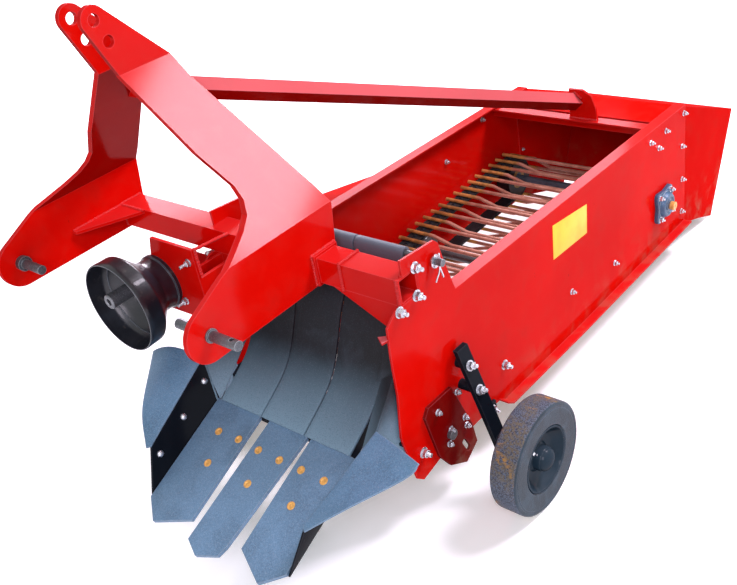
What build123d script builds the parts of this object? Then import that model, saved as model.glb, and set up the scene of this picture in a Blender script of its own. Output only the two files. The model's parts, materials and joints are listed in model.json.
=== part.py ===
"""Single-row potato digger for a compact tractor: hitch mast, digging blades, rod web and wheels.

Millimetres, +Z up. The model is drawn with X = 0 in the middle of the hitch mast, +X to the
machine's left, +Y to its rear and Z from the hitch drawing's datum. Before the files are written
it is moved so that the origin is the bottom centre of the whole machine's box.
"""

from build123d import *
from math import atan2, cos, hypot, pi, radians, sin, sqrt, tan
import os

# ---------------------------------------------------------------- driving dimensions
GROUND_Z = 12.0          # floor level in the hitch drawing
FIT = 0.1                # radial clearance of a pin or bolt in its hole
SEAT = 0.3               # gap left between curved faces that touch

# Hitch mast
PIN_SPREAD = 683.0       # over the outer faces of the two arms
ARM_T = 12.0             # arm plate
EAR_GAP = 62.0           # between the top ears
PIN_D = 22.0
PIN_Y, PIN_Z = -326.0, 630.0
ARM_END_R = 58.0         # round end about the lower pin
LOW_BEND_Z = 734.0
TOP_BEND_Z = 1058.0
ARM_FOOT_Z = 572.0       # lower edge of the arm
EAR_R = 29.0
EAR_BORE = 25.5
EAR_HOLES = ((-176.0, 1174.0), (-158.0, 1127.0))   # (y, z) of the two link holes
PIN_STUB = 79.0          # pin outside the arm
PIN_TAIL = 84.0          # pin inside the arm
COLLAR_D, COLLAR_T = 36.0, 14.0
PIN_HOLE_D = 11.0        # cross hole for a lynch pin
PIN_HOLE_INSET = 16.0    # cross hole from the pin's tip

# Cross tube and frame
TUBE = 60.0
TUBE_WALL = 5.0
TUBE_Y, TUBE_Z = 2.0, 610.0    # centre of the tube's section
LIP, LIP_T = 72.0, 8.0         # joint plate between the arm and the offset tube
GUSSET_T = 8.0
ARM_GUSSET = 150.0             # flat gusset's length along the arm
ARM_GUSSET_W = 92.0            # and along the tube
PANEL_GUSSET = (178.0, 77.0)   # under-tube gusset, along X and down

# Elevator trough
TROUGH_X = 286.0         # centre of the trough
TROUGH_W = 552.0         # between the side panels
PANEL_T = 5.0
TOP_FLANGE = 28.0        # turned inward
FOOT_FLANGE = 25.0       # turned outward
PANEL_REAR_Y = 1295.0
PANEL_TOP = ((146.0, 523.0), (PANEL_REAR_Y, 485.0))     # (y, z) top edge, front and rear
PANEL_FOOT = ((254.0, 140.0), (278.0, 123.0), (630.0, 112.0), (PANEL_REAR_Y, 104.0))
PANEL_NOSE = ((13.0, 148.0), (-51.0, 136.0), (-72.0, 155.0), (-98.0, 289.0), (-85.0, 393.0),
              (-84.0, 488.0), (-80.0, 558.0))
NOTCH_LIP_Y = -48.0      # front of the step below the tube
NOTCH_TOP_Y = -13.0      # front of the lug above the tube
LUG_TOP_Z = 677.0
LUG_BACK = ((97.0, 666.0), (109.0, 655.0), (118.0, 617.0), (139.0, 544.0))

# Rear hood
HOOD_T = 4.0
HOOD_LAP = 34.0          # cheek behind the panel
HOOD_GAP = 6.5           # between the cross-member and the hood's front edge
HOOD_CREST_Y = PANEL_REAR_Y
HOOD_END = (1661.0, 328.0)      # (y, z) rear edge of the top sheet
HOOD_TAIL_Y = 1516.0            # lowest rear corner, on the floor
HOOD_KNEE = (1413.0, 53.0)

# Rear cross-member and tie bar
CROSS_Y, CROSS_W, CROSS_T = 1126.0, 35.0, 5.0
CROSS_TOP_Z = 482.0
TIE = 35.0
TIE_ROLL = 44.0          # the square bar lies on its edge
TIE_FRONT = (0.0, -36.0, 986.0)
TIE_REAR_X, TIE_REAR_Z = 310.6, 533.0
WEB_T = 10.0             # plate between the arms that takes the tie bar
WEB_EDGE = 32.0          # of that plate below the bar's axis
TIE_GUSSET_X = (291.0, 378.0)
TIE_GUSSET_TOP = 571.0

# Digging share
SHARE_X = TROUGH_X + 10.0  # the share sits a little left of the trough
SHARE_W = 433.0            # over the outer blades' outer edges
BLADE_T = 10.0
SHARE_REAR_Y, SHARE_REAR_Z = -185.0, 278.0     # top of the blades' rear edge
SHARE_SLOPE = 23.3
BLADE_LENGTH = 270.0     # along the slope, to the outer blades' corners
OUTER_BLADE_W = {"right": 143.0, "left": 131.0}
OUTER_TIP = 43.0         # point past the corners
OUTER_TIP_IN = 49.0      # point in from the outer edge
MID_REAR = (-43.0, 74.0)       # middle blade's edges from the share's centre, at the rear
MID_FRONT = (-52.0, 49.0)      # and at the front
MID_LENGTH = 307.0
MID_TIP = (42.0, 22.0)         # its point, in from the right edge and past the corner
MID_CHAMFER = (7.0, 23.0)      # its left corner
CARRIER_T = 8.0
CARRIER_FRONT = 165.0    # carrier's tongues under the blades, along the slope
TONGUE_IN = 8.0          # tongue in from its blade's inner edge
CARRIER_REAR_Y = -40.0
SIDE_T = 5.0             # riveted side plates, which lean outward
SIDE_TOP_FRONT = (23.0, -378.0, 264.0)         # out from the blade's edge, y, z
SIDE_TOP_REAR = (53.0, -163.0, 357.0)
WING_T = 4.0
# along the side plate's top edge, then the outer edge as out from the blade's edge, y, z
WING_SECTIONS = ((0.0, 32.0, -386.0, 262.0), (0.25, 98.0, -329.0, 305.0),
                 (0.65, 177.0, -227.0, 341.0), (1.0, 190.0, -200.0, 361.0))
WING_CROWN = {"left": 2.0, "right": 24.0}      # rise of the rear edge's middle
FILLER_T = 4.0
FILLER_IN = (-56.0, 394.0)       # (y, z) of its top edge, beside the apron
FILLER_OUT = (-78.0, 445.0)      # and at the panel's nose
FILLER_GAP = 2.5                 # from the apron's edge

# Apron
ROD_D = 16.0             # cross rod through both lugs
ROD_Y, ROD_Z = 86.0, 625.0
ROD_OUT = 26.0           # rod past the left panel's lug
APRON_T = 6.0
APRON_W = 131.0
APRON_GAP = 4.0
APRON_LINE = ((68.0, 575.0), (8.0, 520.0), (-50.0, 385.0), (-95.0, 335.0))     # (y, z) of its bends
APRON_ROUND = 0.45       # share of the shorter run that a bend takes

# Rod web
WEB_PITCH = 39.5
WEB_ROD_D = 11.0
BELT_T, BELT_W = 8.0, 45.0
WEB_CLEAR = 14.0         # from the rods' ends to the panels
BELT_INSET = 12.0        # belt from the rods' ends
DRIVE_Y, DRIVE_Z, DRIVE_R = 1138.0, 241.0, 58.0
MID_Y, MID_Z, MID_R = 640.0, 243.0, 42.0
FRONT_Y, FRONT_Z, FRONT_R = 50.0, 196.0, 36.0
SHAFT_D = 25.0
ROLLER_W = 60.0
BEARING = 95.0
BEARING_T = 14.0

# Adjuster, struts and wheels
ADJUST_T = 8.0
ADJUST_LINE = ((76, 308), (-9, 310), (-24, 291), (4, 161), (36, 111), (94, 76), (141, 105), (131, 164))
ADJUST_SLOT = (100, 124, 46, 14)        # y, z, length and width
ADJUST_TILT = -65
STRUT_T = 12.0           # flat bar, across the machine
STRUT_D = 38.0           # and along it
STRUT_TOP = (8.0, 117.0, 392.0)        # inner face out from the panel, y, z
STRUT_FOOT = (85.0, 129.0, 122.0)
STRUT_BOLTS = ((119.0, 347.0), (120.0, 286.0))     # (y, z) of its spacers
STRUT_SPACER_D = 24.0
WHEEL_R = 133.0
WHEEL_W = 65.0
WHEEL_Y = 126.0
WHEEL_OUT_X = 207.0      # wheel's outer face past the panel's outer face
AXLE_D = 30.0
AXLE_BOSS_D = 46.0
TYRE_T = 38.0            # solid rubber round the rim
HUB_D = 58.0
CAP_H = 12.0
RUN = 5.0                # clearance of a turning piece

# Drive input
PTO_X, PTO_Z = -75.0, 565.0
PTO_D = 35.0
PTO_OUT = 16.0           # shaft past the guard's mouth
GUARD_DROP = 26.0        # guard's centre below the shaft
GUARD_MOUTH_Y = -270.0
GUARD_R = 112.0
GUARD_T = 3.0
GUARD_LENGTH = 132.0
# distance from the mouth, radius
GUARD_STEPS = ((0.0, GUARD_R), (44.0, GUARD_R), (84.0, 71.0), (104.0, 65.0), (GUARD_LENGTH, 69.0))
PTO_PLATE_T = 8.0
PTO_PLATE = ((-71.0, 655.0), (75.0, 655.0), (75.0, 466.0), (-80.0, 463.0), (-120.0, 480.0),
             (-135.0, 536.0), (-120.0, 575.0), (-90.0, 600.0))          # (x, z)
PTO_RIBS = (23.0, 67.0)         # x of the ribs from the plate to the right panel's gusset
RIB_LOW = 500.0
GEARBOX_X = (-105.0, 3.0)
GEARBOX_LOW, GEARBOX_TOP = 480.0, 560.0
GEARBOX_BOSS_D, GEARBOX_BOSS_L = 64.0, 50.0    # round the input shaft's bearing
DRIVE_TUBE_D = 40.0      # side shaft's housing between the gearbox and the cover
DRIVE_TUBE_Z = 532.0
CHAIN_COVER_T = 64.0     # cover along the right panel
COVER_WALL = 3.0
COVER_LINE = ((60, 560), (412, 508), (755, 440), (1200, 310), (1200, 180), (1080, 180), (400, 400), (60, 470))

# ---------------------------------------------------------------- derived places
LEFT, RIGHT = 1, -1
ARM_OUT = PIN_SPREAD / 2
ARM_IN = ARM_OUT - ARM_T
TUBE_FRONT = TUBE_Y - TUBE / 2
TUBE_BACK = TUBE_Y + TUBE / 2
TUBE_LOW = TUBE_Z - TUBE / 2
TUBE_TOP = TUBE_Z + TUBE / 2
PANEL_IN = TROUGH_W / 2                  # panel's inner face from the trough's centre
PANEL_OUT = PANEL_IN + PANEL_T
WHEEL_Z = GROUND_Z + WHEEL_R
WHEEL_OUT = PANEL_OUT + WHEEL_OUT_X
WHEEL_IN = WHEEL_OUT - WHEEL_W
GUARD_REAR_Y = GUARD_MOUTH_Y + GUARD_LENGTH
HOOD_START_Y = CROSS_Y + CROSS_W / 2 + HOOD_GAP
TIE_REAR = (TIE_REAR_X, CROSS_Y - GUSSET_T / 2, TIE_REAR_Z)
WEB_W = TROUGH_W - 2 * WEB_CLEAR         # over the rods
SHARE_HALF = SHARE_W / 2
SLOPE = tan(radians(SHARE_SLOPE))


# ---------------------------------------------------------------- small helpers
def box(x0, x1, y0, y1, z0, z1):
    """Axis-aligned block between two corners."""
    block = Box(x1 - x0, y1 - y0, z1 - z0, align=(Align.MIN, Align.MIN, Align.MIN))
    return Pos(x0, y0, z0) * block


def outline(points):
    """Closed polygon as a face."""
    return make_face(Polyline(*points, close=True))


def plate_x(shape, x0, x1):
    """A (y, z) drawing pushed from x0 to x1."""
    plane = Plane(origin=(x0, 0, 0), x_dir=(0, 1, 0), z_dir=(1, 0, 0))
    return extrude(plane * shape, amount=x1 - x0)


def plate_y(shape, y0, y1):
    """An (x, z) drawing pushed from y1 back to y0."""
    plane = Plane(origin=(0, y1, 0), x_dir=(1, 0, 0), z_dir=(0, -1, 0))
    return extrude(plane * shape, amount=y1 - y0)


def plate_z(shape, z0, z1):
    """An (x, y) drawing pushed from z0 to z1."""
    return extrude(Plane(origin=(0, 0, z0)) * shape, amount=z1 - z0)


def rod_x(y, z, diameter, x0, x1):
    """Round bar along X."""
    return plate_x(Pos(y, z) * Circle(diameter / 2), x0, x1)


def rod_y(x, z, diameter, y0, y1):
    """Round bar along Y."""
    return plate_y(Pos(x, z) * Circle(diameter / 2), y0, y1)


def mirrored(shape, side, centre=0.0):
    """The shape itself on the left, its mirror image about x = centre on the right."""
    if side == LEFT:
        return shape
    return mirror(shape, about=Plane(origin=(centre, 0, 0), z_dir=(1, 0, 0))).solid()


def tangent_point(centre, radius, outside, side):
    """Where a line from a point outside touches a circle; side is +1 or -1."""
    dy = outside[0] - centre[0]
    dz = outside[1] - centre[1]
    turn = atan2(dz, dy) + side * atan2(sqrt(dy * dy + dz * dz - radius * radius), radius)
    return (centre[0] + radius * cos(turn), centre[1] + radius * sin(turn))


def rounded_radii(points):
    """Largest even radius at each inner point of a line, from its two runs and its turn."""
    radii = []
    for before, here, after in zip(points, points[1:], points[2:]):
        arrive = Vector(here[0] - before[0], here[1] - before[1])
        leave = Vector(after[0] - here[0], after[1] - here[1])
        turn = radians(arrive.get_angle(leave))
        radii.append(APRON_ROUND * min(arrive.length, leave.length) / tan(turn / 2))
    return radii


def band(points, thickness):
    """Face of even thickness along a line of straight runs joined by arcs."""
    radii = rounded_radii(points)
    edges, ends = [], []
    for side in (LEFT, RIGHT):
        reach = side * thickness / 2
        drawn, rounds = [], []
        for index, (y, z) in enumerate(points):
            start, end = points[max(index - 1, 0)], points[min(index + 1, len(points) - 1)]
            arrive = Vector(y - start[0], z - start[1]) if index else Vector(end[0] - y, end[1] - z)
            leave = Vector(end[0] - y, end[1] - z) if index < len(points) - 1 else arrive
            n0 = Vector(-arrive.Y, arrive.X).normalized()
            n1 = Vector(-leave.Y, leave.X).normalized()
            miter = (n0 + n1) * (reach / (1 + n0.dot(n1)))
            drawn.append((y + miter.X, z + miter.Y))
            if 0 < index < len(points) - 1:
                bends_left = arrive.X * leave.Y - arrive.Y * leave.X > 0
                rounds.append(radii[index - 1] - reach if bends_left else radii[index - 1] + reach)
        edges.append(FilletPolyline(*drawn, radius=rounds))
        ends.append((drawn[0], drawn[-1]))
    caps = [Line(ends[0][0], ends[1][0]), Line(ends[0][1], ends[1][1])]
    return make_face([edge for line in edges + caps for edge in line.edges()])


def share_z(y):
    """Height of the blades' top face at y."""
    return SHARE_REAR_Z + (y - SHARE_REAR_Y) * SLOPE


def panel_top_z(y):
    """Height of the side panels' top edge at y."""
    (y0, z0), (y1, z1) = PANEL_TOP
    return z0 + (y - y0) * (z1 - z0) / (y1 - y0)


# ---------------------------------------------------------------- hitch mast
def mast_arm():
    """Left arm: upright lower plate, inclined middle and top ear, bent from one plate."""
    ear_out = EAR_GAP / 2 + ARM_T
    top_z = EAR_HOLES[0][1] + EAR_R + 10
    lean = atan2(ARM_OUT - ear_out, TOP_BEND_Z - LOW_BEND_Z)
    shift = ARM_T * tan(lean / 2)
    outer = [(ARM_OUT, ARM_FOOT_Z - 10), (ARM_OUT, LOW_BEND_Z), (ear_out, TOP_BEND_Z), (ear_out, top_z)]
    inner = [(ear_out - ARM_T, top_z), (ear_out - ARM_T, TOP_BEND_Z - shift),
             (ARM_IN, LOW_BEND_Z - shift), (ARM_IN, ARM_FOOT_Z - 10)]
    strip = plate_y(outline(outer + inner), PIN_Y - 2 * ARM_END_R, TUBE_BACK + 60)
    pin, ear = (PIN_Y, PIN_Z), EAR_HOLES[0]
    shoulder = (-266.0, LOW_BEND_Z - 9)
    ear_front = (-158.0, TOP_BEND_Z)
    ear_back = (-25.0, TOP_BEND_Z)
    front = [tangent_point(pin, ARM_END_R, shoulder, 1), shoulder, (-208.0, LOW_BEND_Z + 14),
             (-165.0, LOW_BEND_Z + 32), (-133.0, LOW_BEND_Z + 50), (-116.0, LOW_BEND_Z + 72),
             (-112.0, LOW_BEND_Z + 96), (-133.0, LOW_BEND_Z + 164), ear_front]
    top = [tangent_point(ear, EAR_R, ear_front, -1), tangent_point(ear, EAR_R, ear_back, 1)]
    back = [ear_back, (-22.0, TOP_BEND_Z - 44), (46.0, LOW_BEND_Z + 32), (54.0, LOW_BEND_Z - 7),
            (TUBE_BACK + 10, TUBE_TOP), (TUBE_BACK + 6, ARM_FOOT_Z), (PIN_Y, ARM_FOOT_Z)]
    profile = outline(front + top + back) + Pos(*pin) * Circle(ARM_END_R) + Pos(*ear) * Circle(EAR_R)
    for y, z in EAR_HOLES:
        profile -= Pos(y, z) * Circle(EAR_BORE / 2)
    profile -= Pos(*pin) * Circle(PIN_D / 2 + FIT)
    return strip & plate_x(profile, 0, ARM_OUT + 10)


def mast_web():
    """Plate between the two arms below the ears; the tie bar is welded to its rear face."""
    ear_out = EAR_GAP / 2 + ARM_T
    lean = atan2(ARM_OUT - ear_out, TOP_BEND_Z - LOW_BEND_Z)
    low, high = TIE_FRONT[2] - WEB_EDGE, TOP_BEND_Z - ARM_T

    def inside(z):
        return ear_out + (TOP_BEND_Z - z) * tan(lean) - ARM_T / cos(lean)

    half_low, half_high = inside(low), inside(high)
    shape = outline([(-half_low, low), (half_low, low), (half_high, high), (-half_high, high)])
    return plate_y(shape, TIE_FRONT[1] - WEB_T, TIE_FRONT[1])


def lower_pin():
    """Left hitch pin: collar each side of the arm and a cross hole at the outer end."""
    tip = ARM_OUT + PIN_STUB
    pin = rod_x(PIN_Y, PIN_Z, PIN_D, ARM_IN - PIN_TAIL, tip)
    pin += rod_x(PIN_Y, PIN_Z, COLLAR_D, ARM_IN - COLLAR_T, ARM_IN)
    pin += rod_x(PIN_Y, PIN_Z, PIN_D + 8, ARM_OUT, ARM_OUT + 4)
    hole = Pos(tip - PIN_HOLE_INSET, PIN_Y, PIN_Z) * Cylinder(PIN_HOLE_D / 2, 2 * PIN_D)
    return pin - hole


# ---------------------------------------------------------------- frame
def square_tube(x0, x1):
    """The 60 mm tube along X."""
    solid = box(x0, x1, TUBE_FRONT, TUBE_BACK, TUBE_LOW, TUBE_TOP)
    inner = TUBE / 2 - TUBE_WALL
    hollow = box(x0 - 1, x1 + 1, TUBE_Y - inner, TUBE_Y + inner, TUBE_Z - inner, TUBE_Z + inner)
    return solid - hollow


def offset_tube():
    """Tube from the left arm out through the left panel, with its joint plate."""
    lip = box(ARM_OUT, ARM_OUT + LIP_T, TUBE_Y - LIP / 2, TUBE_Y + LIP / 2,
              TUBE_Z - LIP / 2, TUBE_Z + LIP / 2)
    tube = square_tube(ARM_OUT + LIP_T, TROUGH_X + PANEL_OUT - 1)
    return lip + tube


def arm_gusset():
    """Flat triangle between the left arm and the front of the cross tube."""
    corner = (ARM_IN, TUBE_FRONT)
    shape = outline([corner, (ARM_IN, TUBE_FRONT - ARM_GUSSET), (ARM_IN - 12, TUBE_FRONT - ARM_GUSSET),
                     (ARM_IN - ARM_GUSSET_W, TUBE_FRONT)])
    return plate_z(shape, TUBE_TOP - GUSSET_T - 2, TUBE_TOP - 2)


def panel_gusset():
    """Upright triangle under the tube, against the left panel's inner face."""
    x_out = TROUGH_X + PANEL_IN
    across, down = PANEL_GUSSET
    shape = outline([(x_out, TUBE_LOW), (x_out, TUBE_LOW - down), (x_out - 40, TUBE_LOW - down + 12),
                     (x_out - across, TUBE_LOW)])
    return plate_y(shape, TUBE_FRONT, TUBE_FRONT + 6)


def side_panel():
    """Left side panel with its notch for the tube, top flange and foot flange."""
    inner, outer = TROUGH_X + PANEL_IN, TROUGH_X + PANEL_OUT
    notch = [(NOTCH_LIP_Y, TUBE_LOW), (TUBE_BACK, TUBE_LOW), (TUBE_BACK, TUBE_TOP),
             (NOTCH_TOP_Y, TUBE_TOP), (NOTCH_TOP_Y, LUG_TOP_Z)]
    foot = list(reversed(PANEL_FOOT))
    points = notch + list(LUG_BACK) + list(PANEL_TOP) + foot + list(PANEL_NOSE)
    panel = plate_x(outline(points), inner, outer)
    (y0, z0), (y1, z1) = PANEL_TOP
    top = [(y0, z0), (y1, z1), (y1, z1 - PANEL_T), (y0, z0 - PANEL_T)]
    panel += plate_x(outline(top), inner - TOP_FLANGE, inner)
    raised = [(y, z + PANEL_T) for y, z in foot]
    panel += plate_x(outline(list(PANEL_FOOT) + raised), outer, outer + FOOT_FLANGE)
    panel -= rod_x(ROD_Y, ROD_Z, ROD_D + 2 * FIT, inner - 1, outer + 1)
    panel -= rod_x(DRIVE_Y, DRIVE_Z, SHAFT_D + 6, inner - 1, outer + 1)
    return panel - rod_x(FRONT_Y, FRONT_Z, SHAFT_D + 2 * FIT, inner - 1, outer + 1)


def rear_cross_member():
    """Angle across the trough that carries the tie bar's gusset."""
    x0, x1 = TROUGH_X - PANEL_IN, TROUGH_X + PANEL_IN
    top = box(x0, x1, CROSS_Y - CROSS_W / 2, CROSS_Y + CROSS_W / 2, CROSS_TOP_Z - CROSS_T, CROSS_TOP_Z)
    leg = box(x0, x1, CROSS_Y + CROSS_W / 2 - CROSS_T, CROSS_Y + CROSS_W / 2,
              CROSS_TOP_Z - CROSS_W, CROSS_TOP_Z - CROSS_T)
    return top + leg


def tie_bar():
    """Square bar on its edge, from the mast down to the rear cross-member."""
    start, end = Vector(*TIE_FRONT), Vector(*TIE_REAR)
    along = (end - start).normalized()
    across = Vector(0, 0, 1).cross(along).normalized()
    section = Plane(origin=start - along * TIE, x_dir=across, z_dir=along)
    bar = extrude(section * Rot(0, 0, TIE_ROLL) * Rectangle(TIE, TIE), amount=(end - start).length + 2 * TIE)
    keep = box(-ARM_OUT, TROUGH_X + PANEL_OUT, TIE_FRONT[1], TIE_REAR[1], 0, EAR_HOLES[0][1])
    return bar & keep


def tie_gusset():
    """Fan-shaped plate on the cross-member that the tie bar's end is welded to."""
    x0, x1 = TIE_GUSSET_X
    shape = outline([(x0, CROSS_TOP_Z), (x1, CROSS_TOP_Z), (x1 - 2, CROSS_TOP_Z + 34),
                     (x1 - 16, TIE_GUSSET_TOP - 16), (x1 - 44, TIE_GUSSET_TOP), (x0, TIE_GUSSET_TOP)])
    return plate_y(shape, CROSS_Y - GUSSET_T / 2, CROSS_Y + GUSSET_T / 2)


def rear_hood():
    """Bent top sheet and two cheeks that close the elevator's tail."""
    half = PANEL_IN
    crest_z = panel_top_z(HOOD_CREST_Y) - PANEL_T
    start_z = panel_top_z(HOOD_START_Y) - PANEL_T
    end_y, end_z = HOOD_END
    cheek = [(HOOD_CREST_Y - HOOD_LAP, panel_top_z(HOOD_CREST_Y - HOOD_LAP) - PANEL_T),
             (HOOD_CREST_Y, crest_z), HOOD_END, (HOOD_TAIL_Y, GROUND_Z), HOOD_KNEE,
             (HOOD_CREST_Y - HOOD_LAP, PANEL_FOOT[3][1] + 2)]
    top = [(HOOD_START_Y, start_z), (HOOD_CREST_Y, crest_z), HOOD_END,
           (end_y - 3, end_z - HOOD_T), (HOOD_CREST_Y - 1, crest_z - HOOD_T), (HOOD_START_Y, start_z - HOOD_T)]
    hood = plate_x(outline(top), TROUGH_X - half, TROUGH_X + half)
    hood += plate_x(outline(cheek), TROUGH_X + half - HOOD_T, TROUGH_X + half)
    hood += plate_x(outline(cheek), TROUGH_X - half, TROUGH_X - half + HOOD_T)
    return hood


# ---------------------------------------------------------------- share
def on_share(x, along, below=0.0):
    """Point on the blades: x across, along forward from the rear edge, below the top face."""
    a = radians(SHARE_SLOPE)
    return (x, SHARE_REAR_Y - along * cos(a) + below * sin(a), SHARE_REAR_Z - along * sin(a) - below * cos(a))


def share_plate(points, top, thick):
    """A plate lying in the share's slope; points are (x across, length forward)."""
    plane = Plane(origin=on_share(0, 0, top), x_dir=(1, 0, 0),
                  z_dir=(0, -sin(radians(SHARE_SLOPE)), cos(radians(SHARE_SLOPE))))
    drawn = outline([(x, -along) for x, along in points])
    return extrude(plane * drawn, amount=-thick)


def outer_blade(side, width):
    """Outer blade with its skewed point; its outer edge carries the side plate."""
    x1, x0 = SHARE_X + side * SHARE_HALF, SHARE_X + side * (SHARE_HALF - width)
    tip = x1 - side * OUTER_TIP_IN
    points = [(x0, 0), (x1, 0), (x1, BLADE_LENGTH), (tip, BLADE_LENGTH + OUTER_TIP), (x0, BLADE_LENGTH)]
    return share_plate(points, 0, BLADE_T)


def middle_blade():
    """Middle blade, a little narrower at the front, with its point off centre."""
    rear0, rear1 = SHARE_X + MID_REAR[0], SHARE_X + MID_REAR[1]
    front0, front1 = SHARE_X + MID_FRONT[0], SHARE_X + MID_FRONT[1]
    tip_in, tip_past = MID_TIP
    cut_x, cut_back = MID_CHAMFER
    points = [(rear0, 0), (rear1, 0), (front1, MID_LENGTH - cut_back), (front1 - cut_x, MID_LENGTH),
              (front0 + tip_in, MID_LENGTH + tip_past), (front0, MID_LENGTH)]
    return share_plate(points, 0, BLADE_T)


def carrier_tongues():
    """Right and left edge of the carrier's tongue under each blade."""
    right, left = SHARE_X - SHARE_HALF, SHARE_X + SHARE_HALF
    return ((right, right + OUTER_BLADE_W["right"] - TONGUE_IN),
            (SHARE_X + MID_REAR[0] + TONGUE_IN, SHARE_X + MID_FRONT[1]),
            (left - OUTER_BLADE_W["left"] + TONGUE_IN, left))


def share_carrier():
    """Bent plate with a tongue under each blade, which reaches back to the side panels."""
    a = radians(SHARE_SLOPE)
    _, fy, fz = on_share(0, CARRIER_FRONT, BLADE_T)
    _, ry, rz = on_share(0, 0, BLADE_T)
    low_z = rz - CARRIER_T
    shape = outline([(fy, fz), (ry, rz), (CARRIER_REAR_Y, rz), (CARRIER_REAR_Y, low_z),
                     (ry, rz - CARRIER_T / cos(a)), (fy + CARRIER_T * sin(a), fz - CARRIER_T * cos(a))])
    carrier = box(SHARE_X - SHARE_HALF, SHARE_X + SHARE_HALF, ry, CARRIER_REAR_Y, low_z, rz)
    carrier += box(TROUGH_X - PANEL_IN, TROUGH_X + PANEL_IN, PANEL_NOSE[3][0] + PANEL_T, CARRIER_REAR_Y,
                   low_z, rz)
    for x0, x1 in carrier_tongues():
        carrier += plate_x(shape, x0, x1)
    return carrier


def side_edges():
    """Ends of the leaning side plate's lower and upper edges, as (out from the blade, y, z)."""
    _, fy, fz = on_share(0, BLADE_LENGTH, BLADE_T)
    _, ry, rz = on_share(0, 0, BLADE_T)
    return (0.0, fy, fz), (0.0, ry, rz), SIDE_TOP_FRONT, SIDE_TOP_REAR


def strip_between(low, high, side, thickness):
    """Section of an upright plate: its inner edge from low to high, thickened outward."""
    inner = [(SHARE_X + side * (SHARE_HALF + out), y, z) for out, y, z in (low, high)]
    outer = [(x + side * thickness, y, z) for x, y, z in reversed(inner)]
    return outline(inner + outer)


def side_plate(side):
    """Riveted plate that stands on the outer blade's outer edge and leans outward."""
    low_front, low_rear, top_front, top_rear = side_edges()
    front = strip_between(low_front, top_front, side, SIDE_T)
    rear = strip_between(low_rear, top_rear, side, SIDE_T)
    return loft([front, rear], ruled=True)


def wing(side, crown):
    """Mouldboard: a plate that starts at the side plate's front and flares out towards the rear."""
    (o0, y0, z0), (o1, y1, z1) = SIDE_TOP_FRONT, SIDE_TOP_REAR
    sections = []
    for t, out, y, z in WING_SECTIONS:
        inner = (o0 + (o1 - o0) * t, y0 + (y1 - y0) * t, z0 + (z1 - z0) * t)
        low = []
        for u in (0, 1 / 3, 2 / 3, 1):
            rise = crown * t * (1 - (2 * u - 1) ** 2)
            low.append((inner[0] + (out - inner[0]) * u, inner[1] + (y - inner[1]) * u,
                        inner[2] + (z - inner[2]) * u + rise))
        lower = [(SHARE_X + side * (SHARE_HALF + o), py, pz) for o, py, pz in low]
        upper = [(px, py, pz + WING_T) for px, py, pz in reversed(lower)]
        sections.append(outline(lower + upper))
    return loft(sections, ruled=True)


def filler_plate(side):
    """Skirt beside the apron, from a side plate's rear edge up to the panel's nose."""
    _, low, _, top = side_edges()
    lean = FILLER_T / sqrt(3)
    x_panel = TROUGH_X + side * (PANEL_IN - SEAT - lean)
    x_apron = SHARE_X + side * (1.5 * APRON_W + APRON_GAP + FILLER_GAP)
    # as far up the side plate's edge as the skirt stays inside the panel
    reach = min(1.0, (side * (x_panel - SHARE_X) - SHARE_HALF) / top[0])
    joint = [a + (b - a) * reach for a, b in zip(low, top)]
    sections = []
    for edge in ([(SHARE_X + side * (SHARE_HALF + out), y, z) for out, y, z in (low, joint)],
                 [(x_apron, *FILLER_IN), (x_panel, *FILLER_OUT)]):
        under = [(x + side * lean, y + lean, z - lean) for x, y, z in reversed(edge)]
        sections.append(outline(edge + under))
    return loft(sections, ruled=True)


# ---------------------------------------------------------------- apron and rod web
def cross_rod():
    """Rod through both lugs that the apron hangs from."""
    return rod_x(ROD_Y, ROD_Z, ROD_D, TROUGH_X - PANEL_OUT - ROD_OUT, TROUGH_X + PANEL_OUT + ROD_OUT)


def apron_line():
    """Middle line of the hanging apron as (y, z), from its eye on the rod down to the blades."""
    eye_r = ROD_D / 2 + SEAT + APRON_T / 2
    end_y = SHARE_REAR_Y - 2
    end_z = share_z(end_y) + APRON_T / 2 / cos(radians(SHARE_SLOPE)) + SEAT
    return [(ROD_Y - eye_r, ROD_Z), *APRON_LINE, (end_y, end_z)]


def apron_strip(index):
    """One of three rubber strips: an eye round the rod, then down and forward onto the blades."""
    x0 = SHARE_X + (index - 1) * (APRON_W + APRON_GAP) - APRON_W / 2
    eye = Pos(ROD_Y, ROD_Z) * (Circle(ROD_D / 2 + SEAT + APRON_T) - Circle(ROD_D / 2 + SEAT))
    return plate_x(band(apron_line(), APRON_T) + eye, x0, x0 + APRON_W)


def web_circles():
    """(y, z, radius) of the rollers that the rod web runs round, on the belt's inner face."""
    return ((FRONT_Y, FRONT_Z, FRONT_R), (MID_Y, MID_Z, MID_R), (DRIVE_Y, DRIVE_Z, DRIVE_R))


def belt_runs():
    """Straight runs of the belt's inner face: (start, end) of each, going round the loop."""
    circles = web_circles()
    order = [0, 1, 2, 0]
    runs = []
    for a, b in zip(order[:-1], order[1:]):
        (y0, z0, r0), (y1, z1, r1) = circles[a], circles[b]
        span = hypot(y1 - y0, z1 - z0)
        lean = atan2(z1 - z0, y1 - y0) + pi / 2 - atan2(r1 - r0, sqrt(span * span - (r1 - r0) ** 2)) * -1
        normal = (cos(lean), sin(lean))
        runs.append(((y0 + r0 * normal[0], z0 + r0 * normal[1]), (y1 + r1 * normal[0], z1 + r1 * normal[1]), normal))
    return runs


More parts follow.
